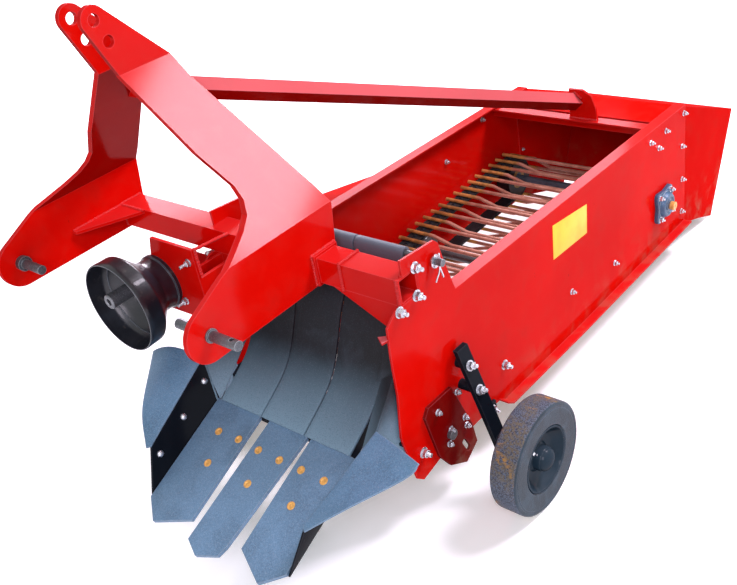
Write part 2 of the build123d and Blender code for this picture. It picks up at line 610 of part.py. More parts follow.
def loop_point(distance, out):
    """Point, and outward direction, at a distance along the belt, out from its inner face."""
    circles = web_circles()
    runs = belt_runs()
    centres = [1, 2, 0]
    for index, (start, end, normal) in enumerate(runs):
        length = hypot(end[0] - start[0], end[1] - start[1])
        if distance <= length:
            t = distance / length
            y = start[0] + (end[0] - start[0]) * t
            z = start[1] + (end[1] - start[1]) * t
            return (y + out * normal[0], z + out * normal[1]), normal
        distance -= length
        y, z, r = circles[centres[index]]
        nxt = runs[(index + 1) % 3][2]
        a0 = atan2(normal[1], normal[0])
        turn = (a0 - atan2(nxt[1], nxt[0])) % (2 * pi)
        if distance <= turn * r:
            a = a0 - distance / r
            return (y + (r + out) * cos(a), z + (r + out) * sin(a)), (cos(a), sin(a))
        distance -= turn * r
    return loop_point(distance, out)


def loop_length():
    """Length of the belt's inner face."""
    circles = web_circles()
    runs = belt_runs()
    total = 0.0
    for index, (start, end, normal) in enumerate(runs):
        total += hypot(end[0] - start[0], end[1] - start[1])
        nxt = runs[(index + 1) % 3][2]
        turn = (atan2(normal[1], normal[0]) - atan2(nxt[1], nxt[0])) % (2 * pi)
        total += turn * circles[[1, 2, 0][index]][2]
    return total


def loop_face(out):
    """Face inside the loop, moved outward from the belt's inner face."""
    circles = web_circles()
    face = None
    for y, z, r in circles:
        disc = Pos(y, z) * Circle(r + out)
        face = disc if face is None else face + disc
    points = []
    for start, end, normal in belt_runs():
        points.append((start[0] + out * normal[0], start[1] + out * normal[1]))
        points.append((end[0] + out * normal[0], end[1] + out * normal[1]))
    return face + outline(points)


def web_belts():
    """Two rubber belts, one near each end of the rods."""
    ring = loop_face(BELT_T) - loop_face(0)
    half = WEB_W / 2 - BELT_INSET
    left = plate_x(ring, TROUGH_X + half - BELT_W, TROUGH_X + half)
    right = plate_x(ring, TROUGH_X - half, TROUGH_X - half + BELT_W)
    return left, right


def rod_web():
    """Round rods across the two belts, evenly spaced round the loop."""
    count = round(loop_length() / WEB_PITCH)
    step = loop_length() / count
    rods = []
    for index in range(count):
        (y, z), _ = loop_point(index * step, BELT_T + WEB_ROD_D / 2 + SEAT)
        rods.append(rod_x(y, z, WEB_ROD_D, TROUGH_X - WEB_W / 2, TROUGH_X + WEB_W / 2))
    return rods


def belt_centres():
    """X of the two belts' middles."""
    off = WEB_W / 2 - BELT_INSET - BELT_W / 2
    return TROUGH_X - off, TROUGH_X + off


def drive_shaft():
    """Rear shaft with a drive wheel under each belt."""
    shaft = rod_x(DRIVE_Y, DRIVE_Z, SHAFT_D, TROUGH_X - PANEL_OUT - BEARING_T - 16, TROUGH_X + PANEL_OUT + BEARING_T + 16)
    for x in belt_centres():
        shaft += rod_x(DRIVE_Y, DRIVE_Z, 2 * (DRIVE_R - SEAT), x - BELT_W / 2, x + BELT_W / 2)
    return shaft


def front_roller():
    """Front shaft with a roller under each belt."""
    shaft = rod_x(FRONT_Y, FRONT_Z, SHAFT_D, TROUGH_X - PANEL_OUT - ADJUST_T - 10, TROUGH_X + PANEL_OUT + ADJUST_T + 10)
    for x in belt_centres():
        shaft += rod_x(FRONT_Y, FRONT_Z, 2 * (FRONT_R - SEAT), x - ROLLER_W / 2, x + ROLLER_W / 2)
    return shaft


def support_roller():
    """Middle shaft with a roller under each belt, held by the side panels."""
    shaft = rod_x(MID_Y, MID_Z, SHAFT_D, TROUGH_X - PANEL_IN, TROUGH_X + PANEL_IN)
    for x in belt_centres():
        shaft += rod_x(MID_Y, MID_Z, 2 * (MID_R - SEAT), x - ROLLER_W / 2, x + ROLLER_W / 2)
    return shaft


def bearing():
    """Left flanged bearing on the outside of the panel."""
    x0 = TROUGH_X + PANEL_OUT
    half = BEARING / 2
    plate = RectangleRounded(BEARING, BEARING, 14)
    for y in (-1, 1):
        for z in (-1, 1):
            plate -= Pos(y * (half - 14), z * (half - 14)) * Circle(5.5)
    housing = plate_x(Pos(DRIVE_Y, DRIVE_Z) * plate, x0, x0 + BEARING_T)
    housing += rod_x(DRIVE_Y, DRIVE_Z, BEARING * 0.68, x0 + BEARING_T, x0 + BEARING_T + 12)
    return housing - rod_x(DRIVE_Y, DRIVE_Z, SHAFT_D + 2 * FIT, x0 - 1, x0 + BEARING_T + 20)


# ---------------------------------------------------------------- adjusters, struts and wheels
def adjust_plate():
    """Left slotted plate that sets the front roller."""
    x0 = TROUGH_X + PANEL_OUT
    shape = outline(ADJUST_LINE) - Pos(FRONT_Y, FRONT_Z) * Circle(SHAFT_D / 2 + FIT)
    slot_y, slot_z, length, width = ADJUST_SLOT
    shape -= Pos(slot_y, slot_z) * Rot(0, 0, ADJUST_TILT) * SlotOverall(length, width)
    return plate_x(shape, x0, x0 + ADJUST_T)


def strut_x(z):
    """Inner face of the left strut at a height."""
    (top, _, z1), (foot, _, z0) = STRUT_TOP, STRUT_FOOT
    return TROUGH_X + PANEL_OUT + top + (foot - top) * (z1 - z) / (z1 - z0)


def wheel_strut():
    """Left strut: a flat bar that leans out, on two spacers, with its stub axle."""
    sections = []
    for _, y, z in (STRUT_TOP, STRUT_FOOT):
        x0, x1, front, rear = strut_x(z), strut_x(z) + STRUT_T, y - STRUT_D / 2, y + STRUT_D / 2
        sections.append(outline([(x0, front, z), (x1, front, z), (x1, rear, z), (x0, rear, z)]))
    strut = loft(sections, ruled=True)
    for y, z in STRUT_BOLTS:
        strut += rod_x(y, z, STRUT_SPACER_D, TROUGH_X + PANEL_OUT, strut_x(z) + STRUT_T / 2)
    middle = strut_x(WHEEL_Z) + STRUT_T / 2
    strut += rod_x(WHEEL_Y, WHEEL_Z, AXLE_BOSS_D, middle, TROUGH_X + WHEEL_IN - RUN)
    strut += rod_x(WHEEL_Y, WHEEL_Z, AXLE_D, middle, TROUGH_X + WHEEL_OUT - 8)
    return strut


def tyre():
    """Left solid rubber tyre."""
    ring = Circle(WHEEL_R) - Circle(WHEEL_R - TYRE_T)
    body = plate_x(Pos(WHEEL_Y, WHEEL_Z) * ring, TROUGH_X + WHEEL_IN, TROUGH_X + WHEEL_OUT)
    edges = body.edges().filter_by(GeomType.CIRCLE)
    return fillet([e for e in edges if abs(e.radius - WHEEL_R) < 0.01], 7)


def wheel_rim():
    """Left steel rim: drum, disc, hub and cap."""
    x0, x1 = TROUGH_X + WHEEL_IN, TROUGH_X + WHEEL_OUT
    at = Pos(WHEEL_Y, WHEEL_Z)
    rim_r = WHEEL_R - TYRE_T
    rim = plate_x(at * (Circle(rim_r) - Circle(rim_r - 5)), x0 + 4, x1 - 4)
    middle = (x0 + x1) / 2
    rim += plate_x(at * (Circle(rim_r - 5) - Circle(HUB_D / 2)), middle - 3, middle + 3)
    rim += plate_x(at * Circle(HUB_D / 2), x0, x1 + CAP_H)
    return rim - rod_x(WHEEL_Y, WHEEL_Z, AXLE_D + 2 * FIT, x0 - 1, x1 - 8 + RUN)


# ---------------------------------------------------------------- drive input
def gearbox():
    """Angle gearbox behind the guard's plate, with a boss round its input shaft."""
    x0, x1 = GEARBOX_X
    y0 = GUARD_REAR_Y + PTO_PLATE_T
    block = box(x0, x1, y0, TUBE_FRONT, GEARBOX_LOW, GEARBOX_TOP)
    return block + rod_y(PTO_X, PTO_Z, GEARBOX_BOSS_D, y0, y0 + GEARBOX_BOSS_L)


def drive_tube():
    """Housing of the side shaft, under the cross tube from the gearbox to the chain cover."""
    x = TROUGH_X - PANEL_OUT - CHAIN_COVER_T / 2
    return rod_y(x, DRIVE_TUBE_Z, DRIVE_TUBE_D, TUBE_FRONT, COVER_LINE[0][0])


def pto_plate():
    """Upright plate between the guard and the gearbox, on two ribs in front of the panel gusset."""
    y0, y1 = GUARD_REAR_Y, GUARD_REAR_Y + PTO_PLATE_T
    shape = outline(PTO_PLATE) - Pos(PTO_X, PTO_Z) * Circle(PTO_D / 2 + RUN)
    plate = plate_y(shape, y0, y1)
    for x in PTO_RIBS:
        rib = [(y1, RIB_LOW), (TUBE_FRONT, RIB_LOW), (TUBE_FRONT, TUBE_LOW), (y1, TUBE_LOW)]
        plate += plate_x(outline(rib), x, x + PTO_PLATE_T)
    return plate


def pto_shaft():
    """Input shaft inside the guard."""
    return rod_y(PTO_X, PTO_Z, PTO_D, GUARD_MOUTH_Y - PTO_OUT, GUARD_REAR_Y + PTO_PLATE_T - SEAT)


def pto_guard():
    """Bell-shaped guard: straight mouth band, cone and neck."""
    outer = [(radius, GUARD_MOUTH_Y + y) for y, radius in GUARD_STEPS]
    inner = [(radius - GUARD_T, y) for radius, y in reversed(outer)]
    ring = revolve(outline(outer + inner), axis=Axis.Y)
    return Pos(PTO_X, 0, PTO_Z - GUARD_DROP) * ring


def chain_cover():
    """Long closed cover over the drive along the right panel's outer side."""
    x1 = TROUGH_X - PANEL_OUT
    x0 = x1 - CHAIN_COVER_T
    shape = outline(COVER_LINE)
    inner = offset(shape, -COVER_WALL, kind=Kind.INTERSECTION)
    return plate_x(shape, x0, x1) - plate_x(inner, x0 + COVER_WALL, x1)


# ---------------------------------------------------------------- assembly
def build():
    """Every node's solids, in the hitch drawing's frame."""
    nodes = {
        "mast_web": [mast_web()],
        "cross_tube": [square_tube(-ARM_IN, ARM_IN)],
        "offset_tube": [offset_tube()],
        "arm_gussets": [mirrored(arm_gusset(), side) for side in (LEFT, RIGHT)],
        "rear_cross_member": [rear_cross_member()],
        "tie_bar": [tie_bar()],
        "tie_gusset": [tie_gusset()],
        "rear_hood": [rear_hood()],
        "share_carrier": [share_carrier()],
        "blade_middle": [middle_blade()],
        "cross_rod": [cross_rod()],
        "rod_web": rod_web(),
        "web_belts": list(web_belts()),
        "drive_shaft": [drive_shaft()],
        "front_roller": [front_roller()],
        "support_roller": [support_roller()],
        "gearbox": [gearbox()],
        "drive_tube": [drive_tube()],
        "pto_plate": [pto_plate()],
        "pto_shaft": [pto_shaft()],
        "pto_guard": [pto_guard()],
        "chain_cover": [chain_cover()],
    }
    for name, index in (("right", 0), ("middle", 1), ("left", 2)):
        nodes[f"apron_strip_{name}"] = [apron_strip(index)]
    for name, side in (("left", LEFT), ("right", RIGHT)):
        nodes[f"blade_{name}"] = [outer_blade(side, OUTER_BLADE_W[name])]
        nodes[f"side_plate_{name}"] = [side_plate(side)]
        nodes[f"wing_{name}"] = [wing(side, WING_CROWN[name])]
        nodes[f"filler_plate_{name}"] = [filler_plate(side)]
    # name, maker, centre of the mirror
    pairs = [
        ("mast_arm", mast_arm, 0.0),
        ("lower_pin", lower_pin, 0.0),
        ("side_panel", side_panel, TROUGH_X),
        ("panel_gusset", panel_gusset, TROUGH_X),
        ("bearing", bearing, TROUGH_X),
        ("adjust_plate", adjust_plate, TROUGH_X),
        ("wheel_strut", wheel_strut, TROUGH_X),
        ("tyre", tyre, TROUGH_X),
        ("wheel_rim", wheel_rim, TROUGH_X),
    ]
    for name, maker, centre in pairs:
        for word, side in (("left", LEFT), ("right", RIGHT)):
            nodes[f"{name}_{word}"] = [mirrored(maker(), side, centre)]
    return nodes


def placed(nodes):
    """The nodes as compounds, moved so that the machine's box stands on the origin."""
    whole = Compound(children=[solid for solids in nodes.values() for solid in solids]).bounding_box()
    shift = Pos(-whole.center().X, -whole.center().Y, -whole.min.Z)
    return {name: Compound(children=[shift * solid for solid in solids]) for name, solids in nodes.items()}


if __name__ == "__main__":
    os.makedirs("parts", exist_ok=True)
    for node, shape in placed(build()).items():
        export_step(shape, f"parts/{node}.step")
        print(node, len(shape.solids()), round(shape.volume))
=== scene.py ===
"""Finishes and fine detail of a single-row potato digger, dressed over its packed solids.

Places are given in millimetres in the hitch drawing, as in the part's source: X = 0 in the middle
of the mast, +X to the machine's left, +Y to its rear, +Z up. Drawing.at turns them into metres.
"""

from __future__ import annotations

import json
import logging
import math
import random
from contextlib import contextmanager
from dataclasses import dataclass, field
from enum import Enum
from functools import partial
from typing import Callable, Iterator, Sequence

import bpy
from mathutils import Matrix, Vector

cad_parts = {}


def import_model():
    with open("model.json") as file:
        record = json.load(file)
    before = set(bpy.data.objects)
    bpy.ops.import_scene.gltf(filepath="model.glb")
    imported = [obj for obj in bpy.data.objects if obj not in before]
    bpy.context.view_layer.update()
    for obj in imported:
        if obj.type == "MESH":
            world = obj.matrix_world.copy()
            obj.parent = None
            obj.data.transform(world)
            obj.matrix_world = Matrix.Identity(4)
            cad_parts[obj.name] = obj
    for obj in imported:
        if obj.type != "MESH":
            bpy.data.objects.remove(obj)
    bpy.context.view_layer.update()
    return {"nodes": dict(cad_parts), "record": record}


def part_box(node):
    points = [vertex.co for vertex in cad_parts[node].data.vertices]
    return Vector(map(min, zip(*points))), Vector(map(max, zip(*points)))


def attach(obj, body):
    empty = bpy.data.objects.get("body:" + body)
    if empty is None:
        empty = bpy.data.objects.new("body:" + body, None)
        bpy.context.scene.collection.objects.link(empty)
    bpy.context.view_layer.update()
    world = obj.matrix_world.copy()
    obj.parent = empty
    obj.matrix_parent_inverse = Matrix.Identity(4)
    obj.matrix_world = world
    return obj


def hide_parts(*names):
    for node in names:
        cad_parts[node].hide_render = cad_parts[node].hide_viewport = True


LOG = logging.getLogger("digger")
Point = tuple[float, float, float]
Colour = tuple[float, float, float]
MM = 0.001
SEAM = 0.00002      # points of a closed seam lie nearer than this, in metres


class Side(Enum):
    """Side of the machine, as the sign of X."""

    LEFT = 1
    RIGHT = -1

    @property
    def word(self) -> str:
        """Lower-case name, as the nodes are named."""
        return self.name.lower()


@dataclass(frozen=True)
class Drawing:
    """The hitch drawing's datum in the packed frame, and the X of what several pieces share."""

    tube_y: float = 2.0
    tube_z: float = 610.0
    share_middle: float = 296.0
    trough_middle: float = 286.0
    panel_x: float = 567.0

    def origin(self) -> Vector:
        """Datum in metres, from the middle of the cross tube."""
        low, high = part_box("cross_tube")
        return (low + high) / 2 - Vector((0.0, self.tube_y, self.tube_z)) * MM

    def at(self, x: float, y: float, z: float) -> Vector:
        """A drawing point in millimetres as a point of the frame in metres."""
        return self.origin() + Vector((x, y, z)) * MM

    def across(self, side: Side, x: float) -> float:
        """X on the left of the trough, mirrored for the right."""
        return self.trough_middle + side.value * (x - self.trough_middle)


# ---------------------------------------------------------------- shader maths
class Value:
    """A number inside a material; its operators add Math nodes."""

    def __init__(self, shader: "Shader", socket: bpy.types.NodeSocket) -> None:
        """Keeps the socket and the shader that it belongs to."""
        self.shader = shader
        self.socket = socket

    def math(self, operation: str, *inputs: object) -> "Value":
        """Result of a Math node.

        Args:
            operation: The node's operation.
            inputs: Values or numbers for its sockets, in order.

        Returns:
            The node's output.
        """
        node = self.shader.node("ShaderNodeMath", {"operation": operation}, dict(enumerate(inputs)))
        return Value(self.shader, node.outputs[0])

    def __add__(self, other: object) -> "Value":
        """Sum."""
        return self.math("ADD", self, other)

    def __sub__(self, other: object) -> "Value":
        """Difference."""
        return self.math("SUBTRACT", self, other)

    def __mul__(self, other: object) -> "Value":
        """Product."""
        return self.math("MULTIPLY", self, other)

    def __truediv__(self, other: object) -> "Value":
        """Quotient."""
        return self.math("DIVIDE", self, other)

    def __rsub__(self, other: object) -> "Value":
        """A number less this value."""
        return self.math("SUBTRACT", other, self)

    __radd__ = __add__
    __rmul__ = __mul__

    def size(self) -> "Value":
        """Absolute value."""
        return self.math("ABSOLUTE", self)

    def hypot(self, other: "Value") -> "Value":
        """Distance from the origin on two axes."""
        squared = self * self + other * other
        return squared.math("SQRT", squared)

    def step(self, low: float, high: float) -> "Value":
        """Smooth rise from 0 at low to 1 at high, or a fall where low is above high.

        Args:
            low: Where it is 0.
            high: Where it is 1.

        Returns:
            The mask.
        """
        lower, upper = min(low, high), max(low, high)
        ends = {3: 0.0, 4: 1.0} if low < high else {3: 1.0, 4: 0.0}
        links = {0: self, 1: lower, 2: upper, **ends}
        mapped = self.shader.node("ShaderNodeMapRange", {"interpolation_type": "SMOOTHSTEP"}, links)
        return Value(self.shader, mapped.outputs[0])


class Shader:
    """A material under construction."""

    def __init__(self, name: str) -> None:
        """Starts an empty material with one Principled shader.

        Args:
            name: Name of the material.
        """
        self.material = bpy.data.materials.new(name)
        self.material.use_nodes = True
        self.tree = self.material.node_tree
        self.tree.nodes.clear()
        self.surface = self.node("ShaderNodeBsdfPrincipled", {}, {})
        self.node("ShaderNodeOutputMaterial", {}, {"Surface": self.surface.outputs[0]})
        self.place = self.node("ShaderNodeTexCoord", {}, {}).outputs["Object"]

    def node(self, kind: str, settings: dict, links: dict) -> bpy.types.Node:
        """Adds a node.

        Args:
            kind: Node type.
            settings: Its own properties, which are set first.
            links: Numbers, colours, Values or sockets by socket name or index.

        Returns:
            The node.
        """
        made = self.tree.nodes.new(kind)
        for key, value in settings.items():
            setattr(made, key, value)
        for key, value in links.items():
            self.feed(made.inputs[key], value)
        return made

    def feed(self, target: bpy.types.NodeSocket, value: object) -> None:
        """Links a Value or a socket to an input, or sets a plain number or colour on it.

        Args:
            target: The input.
            value: The Value, socket, number or colour.
        """
        source = value.socket if isinstance(value, Value) else value
        if isinstance(source, bpy.types.NodeSocket):
            self.tree.links.new(source, target)
        else:
            target.default_value = source

    def noise(self, scale: float, detail: float = 3.0, stretch: Point = (1, 1, 1),
              warp: float = 0.0) -> Value:
        """Noise over the piece, about 0.5 in the mean.

        Args:
            scale: Features to a metre.
            detail: Octaves.
            stretch: Scale along X, Y and Z.
            warp: Distortion.

        Returns:
            The noise's value.
        """
        moved = self.node("ShaderNodeMapping", {}, {"Vector": self.place, "Scale": stretch})
        links = {"Vector": moved.outputs[0], "Scale": scale, "Detail": detail, "Distortion": warp}
        return Value(self, self.node("ShaderNodeTexNoise", {}, links).outputs[0])

    def axis(self, index: int) -> Value:
        """X, Y or Z of the point, in metres."""
        return Value(self, self.node("ShaderNodeSeparateXYZ", {}, {0: self.place}).outputs[index])

    def facing(self, index: int) -> Value:
        """X, Y or Z of the surface's normal."""
        normal = self.node("ShaderNodeNewGeometry", {}, {}).outputs["Normal"]
        return Value(self, self.node("ShaderNodeSeparateXYZ", {}, {0: normal}).outputs[index])

    def edge(self, radius: float) -> Value:
        """Mask that is 1 along edges, out to about radius.

        Args:
            radius: Reach of the mask in metres.

        Returns:
            The mask.
        """
        rounded = self.node("ShaderNodeBevel", {"samples": 4}, {"Radius": radius}).outputs[0]
        flat = self.node("ShaderNodeNewGeometry", {}, {}).outputs["True Normal"]
        dot = self.node("ShaderNodeVectorMath", {"operation": "DOT_PRODUCT"}, {0: rounded, 1: flat})
        return Value(self, dot.outputs["Value"]).step(0.985, 0.86)

    def mix(self, factor: object, a: object, b: object) -> bpy.types.NodeSocket:
        """Colour between a and b.

        Args:
            factor: Share of b.
            a: First colour.
            b: Second colour.

        Returns:
            The colour's socket.
        """
        first = (*a, 1.0) if isinstance(a, tuple) else a
        second = (*b, 1.0) if isinstance(b, tuple) else b
        mixed = self.node("ShaderNodeMix", {"data_type": "RGBA"}, {0: factor, 6: first, 7: second})
        return mixed.outputs[2]

    def finish(self, colour: object, roughness: object, height: object, depth: float,
               soft_edge: float = 0.0012, **constants: object) -> bpy.types.Material:
        """Connects the shader.

        Args:
            colour: Base colour.
            roughness: Roughness.
            height: Height for the bump, or None.
            depth: Depth of the bump in metres.
            soft_edge: Radius to which edges look rounded.
            constants: Other sockets of the Principled shader, with _ for a space.

        Returns:
            The material.
        """
        links = {"Base Color": colour, "Roughness": roughness}
        links.update({key.replace("_", " "): value for key, value in constants.items()})
        normal = self.node("ShaderNodeBevel", {"samples": 4}, {"Radius": soft_edge}).outputs[0]
        if height is not None:
            bump = {"Height": height, "Distance": depth, "Strength": 1.0, "Normal": normal}
            normal = self.node("ShaderNodeBump", {}, bump).outputs[0]
        links["Normal"] = normal
        for key, value in links.items():
            self.feed(self.surface.inputs[key], value)
        return self.material


def shade(colour: Colour, factor: float) -> Colour:
    """The colour made lighter or darker."""
    return tuple(min(1.0, c * factor) for c in colour)


# ---------------------------------------------------------------- finishes
@dataclass(frozen=True)
class Paint:
    """Brushed or sprayed gloss paint on plate, with dust in the corners and low down."""

    name: str
    colour: Colour
    roughness: float = 0.3
    coat: float = 0.068
    coat_ior: float = 2.2
    # share by which faces that look down are painted darker, as painted shade
    under: float = 0.6
    dust: Colour = (0.30, 0.20, 0.13)
    dust_top: float = 0.22
    # strength and colour of a painted highlight on upward faces, standing in for the sky's reflection in the
    # gloss
    film: float = 0.02
    film_colour: Colour = (1.0, 0.42, 0.46)

    def build(self) -> bpy.types.Material:
        """Makes the material.

        Returns:
            The material.
        """
        s = Shader(self.name)
        broad = s.noise(2.6, 4.0)
        cloud = s.noise(19.0, 5.0, warp=0.4)
        speck = s.noise(330.0, 2.0)
        colour = s.mix(broad.step(0.3, 0.7), shade(self.colour, 0.88), shade(self.colour, 1.05))
        colour = s.mix(cloud.step(0.55, 0.8) * 0.25, colour, shade(self.colour, 0.7))
        # painted shade: faces that look down are darkened towards a fifth of the colour
        colour = s.mix(s.facing(2).step(-0.05, -0.5) * self.under, colour, shade(self.colour, 0.2))
        # painted highlight: upward faces are tinted pink, as the sky's reflection in the gloss
        film = s.facing(2).step(0.25, 0.9) * (broad * 0.5 + 0.75) * self.film
        colour = s.mix(film, colour, self.film_colour)
        # painted highlight: edges are lightened towards pink, as light catching them; the dark chips below
        # are real wear
        edge = s.edge(0.0035)
        colour = s.mix(edge * 0.25, colour, s.mix(0.35, shade(self.colour, 1.2), self.film_colour))
        chipped = edge * s.noise(140.0, 3.0).step(0.66, 0.70)
        colour = s.mix(chipped * 0.8, colour, (0.10, 0.085, 0.08))
        low = s.axis(2).step(self.dust_top, 0.0)
        grime = (low * 0.4 + 0.02) * cloud.step(0.42, 0.72)
        colour = s.mix(grime, colour, self.dust)
        nicks = s.noise(85.0, 2.0, stretch=(1.0, 1.0, 0.35)).step(0.79, 0.80)
        colour = s.mix(nicks * 0.8, colour, shade(self.colour, 0.35))
        roughness = cloud * 0.10 + grime * 0.5 + (self.roughness - 0.05)
        height = speck * 0.35 + s.noise(26.0, 3.0) * 0.65
        return s.finish(colour, roughness, height, 0.00035, Coat_Weight=self.coat, Coat_Roughness=0.12,
                        Coat_IOR=self.coat_ior, Specular_IOR_Level=0.0)


@dataclass(frozen=True)
class Steel:
    """Bare or heat-treated steel, with rolled grain, mill scale and bright worn edges."""

    name: str
    colour: Colour
    scale_colour: Colour
    worn: Colour = (0.42, 0.44, 0.46)
    metallic: float = 0.7
    roughness: float = 0.42
    rust: float = 0.15
    grain: Point = (1.0, 0.12, 1.0)
    wear: float = 0.6
    mottle: float = 0.3

    def build(self) -> bpy.types.Material:
        """Makes the material.

        Returns:
            The material.
        """
        s = Shader(self.name)
        patch = s.noise(11.0, 5.0, warp=0.8)
        grain = s.noise(240.0, 3.0, stretch=self.grain)
        colour = s.mix(patch.step(0.38, 0.66), self.colour, self.scale_colour)
        colour = s.mix(grain.step(0.35, 0.75) * 0.4, colour, shade(self.colour, 1.5))
        mottle = s.noise(620.0, 3.0)
        colour = s.mix(mottle.step(0.52, 0.36) * self.mottle, colour, shade(self.colour, 0.35))
        colour = s.mix(mottle.step(0.56, 0.70) * self.mottle, colour, shade(self.worn, 1.2))
        spots = s.noise(70.0, 6.0, warp=0.5).step(0.60, 0.72) * self.rust
        colour = s.mix(spots, colour, (0.23, 0.10, 0.045))
        edge = s.edge(0.003)
        colour = s.mix(edge * self.wear, colour, self.worn)
        roughness = patch * 0.16 + spots * 0.4 + (self.roughness - 0.08) - edge * 0.08
        height = grain * 0.4 + patch * 0.6
        return s.finish(colour, roughness, height, 0.0003, Metallic=self.metallic)


@dataclass(frozen=True)
class Plating:
    """Zinc plating on fasteners, white or yellow."""

    name: str
    colour: Colour
    roughness: float = 0.3
    stain: Colour = (0.35, 0.22, 0.12)
    metallic: float = 0.45

    def build(self) -> bpy.types.Material:
        """Makes the material.

        Returns:
            The material.
        """
        s = Shader(self.name)
        patch = s.noise(160.0, 4.0)
        colour = s.mix(patch.step(0.35, 0.7), self.colour, shade(self.colour, 0.66))
        colour = s.mix(s.noise(60.0, 4.0).step(0.62, 0.74) * 0.5, colour, self.stain)
        return s.finish(colour, patch * 0.2 + (self.roughness - 0.1), patch, 0.00015, 0.0006,
                        Metallic=self.metallic)


@dataclass(frozen=True)
class Rubber:
    """Matt rubber with pressed fabric texture, pale specks and dust."""

    name: str
    colour: Colour
    speck: Colour
    speck_share: float = 0.6
    roughness: float = 0.62
    dust: float = 0.25
    dust_colour: Colour = (0.20, 0.19, 0.18)
    # foot: the lit blue-grey low on the piece; the near black base colour above foot_top is painted shade
    foot: Colour = (0.0, 0.0, 0.0)
    foot_low: float = 0.0
    foot_top: float = 0.0
    # head: blue-grey painted highlight on the band above head_low, round the cross rod
    head: Colour = (0.09, 0.11, 0.14)
    head_low: float = 0.59

    def build(self) -> bpy.types.Material:
        """Makes the material.

        Returns:
            The material.
        """
        s = Shader(self.name)
        broad = s.noise(5.0, 4.0)
        fine = s.noise(420.0, 4.0)
        fibre = s.noise(160.0, 3.0, stretch=(1.0, 0.25, 0.25))
        colour = s.mix(broad.step(0.3, 0.7), shade(self.colour, 0.75), shade(self.colour, 1.25))
        specks = fine.step(0.54, 0.66) * self.speck_share
        fibres = fibre.step(0.55, 0.75) * 0.25
        # painted shade: near black above foot_top, where the machine above shades the strips, blue-grey below
        # foot_low
        if self.foot_top:
            low = (s.axis(2) + broad * 0.05).step(self.foot_top, self.foot_low)
            colour = s.mix(low, colour, s.mix(broad.step(0.3, 0.7), self.foot, shade(self.foot, 1.2)))
            dark = fine.step(0.5, 0.34) * low * 0.55
            colour = s.mix(dark, colour, shade(self.foot, 0.3))
            # painted highlight: a blue-grey band above head_low, on the wrap round the cross rod
            colour = s.mix(s.axis(2).step(self.head_low, self.head_low + 0.012), colour, self.head)
            specks = specks * (low * 0.93 + 0.07)
            fibres = fibres * (low * 0.95 + 0.05)
        colour = s.mix(specks, colour, self.speck)
        colour = s.mix(fibres, colour, self.speck)
        colour = s.mix(s.noise(14.0, 6.0, warp=0.6).step(0.5, 0.75) * self.dust, colour, self.dust_colour)
        height = fine * 0.5 + fibre * 0.5
        return s.finish(colour, broad * 0.2 + (self.roughness - 0.1), height, 0.0006, Specular_IOR_Level=0.3)


@dataclass(frozen=True)
class TyreRubber:
    """Solid tyre: slate side walls, a dusty grey tread and smears of yellow soil."""

    name: str = "solid_tyre_rubber"
    wall: Colour = (0.013, 0.025, 0.036)
    tread: Colour = (0.070, 0.088, 0.120)
    soil: Colour = (0.145, 0.115, 0.060)
    smear: Colour = (0.50, 0.25, 0.03)

    def build(self) -> bpy.types.Material:
        """Makes the material.

        Returns:
            The material.
        """
        s = Shader(self.name)
        patch = s.noise(24.0, 6.0, warp=0.7)
        fine = s.noise(380.0, 4.0)
        grit = s.noise(170.0, 5.0)
        wall = s.mix(patch.step(0.4, 0.7), self.wall, shade(self.wall, 1.8))
        wall = s.mix(fine.step(0.58, 0.68) * 0.35, wall, shade(self.wall, 4.0))
        tread = s.mix(fine.step(0.40, 0.60), shade(self.tread, 0.45), shade(self.tread, 1.5))
        soiled = s.noise(9.0, 3.0, warp=0.4).step(0.42, 0.60) * grit.step(0.38, 0.60)
        tread = s.mix(soiled * 0.75, tread, self.soil)
        smeared = s.noise(13.0, 3.0, stretch=(1.0, 1.6, 0.8), warp=0.5).step(0.57, 0.70)
        tread = s.mix(smeared * grit.step(0.40, 0.56), tread, self.smear)
        on_tread = s.facing(0).size().step(0.75, 0.45)
        colour = s.mix(on_tread, wall, tread)
        # painted highlight: the tyre's edges are lightened blue-grey, as light catching its rims
        colour = s.mix(s.edge(0.004) * 0.35, colour, (0.13, 0.17, 0.22))
        height = fine * 0.6 + grit * 0.4
        return s.finish(colour, on_tread * 0.2 + 0.5, height, 0.0010, Specular_IOR_Level=0.3)


@dataclass(frozen=True)
class RodSteel:
    """Web rods: pinkish brown rust in the middle, golden and scuffed towards their ends."""

    name: str
    middle_x: float
    half: float
    rust: Colour = (0.42, 0.155, 0.105)
    pale: Colour = (0.58, 0.26, 0.19)
    gold: Colour = (0.62, 0.30, 0.085)
    end: float = 0.085

    def build(self) -> bpy.types.Material:
        """Makes the material.

        Returns:
            The material.
        """
        s = Shader(self.name)
        patch = s.noise(30.0, 5.0)
        fine = s.noise(260.0, 4.0)
        from_end = (s.axis(0) - self.middle_x).size() - (self.half - self.end)
        colour = s.mix(patch.step(0.35, 0.65), self.rust, self.pale)
        golden = from_end.step(-0.012, 0.012)
        colour = s.mix(golden, colour, s.mix(patch.step(0.4, 0.6), self.gold, shade(self.gold, 0.55)))
        colour = s.mix(fine.step(0.56, 0.68) * 0.5, colour, (0.13, 0.055, 0.035))
        roughness = fine * 0.25 + 0.32
        return s.finish(colour, roughness, fine, 0.0004, 0.0006, Metallic=0.35)


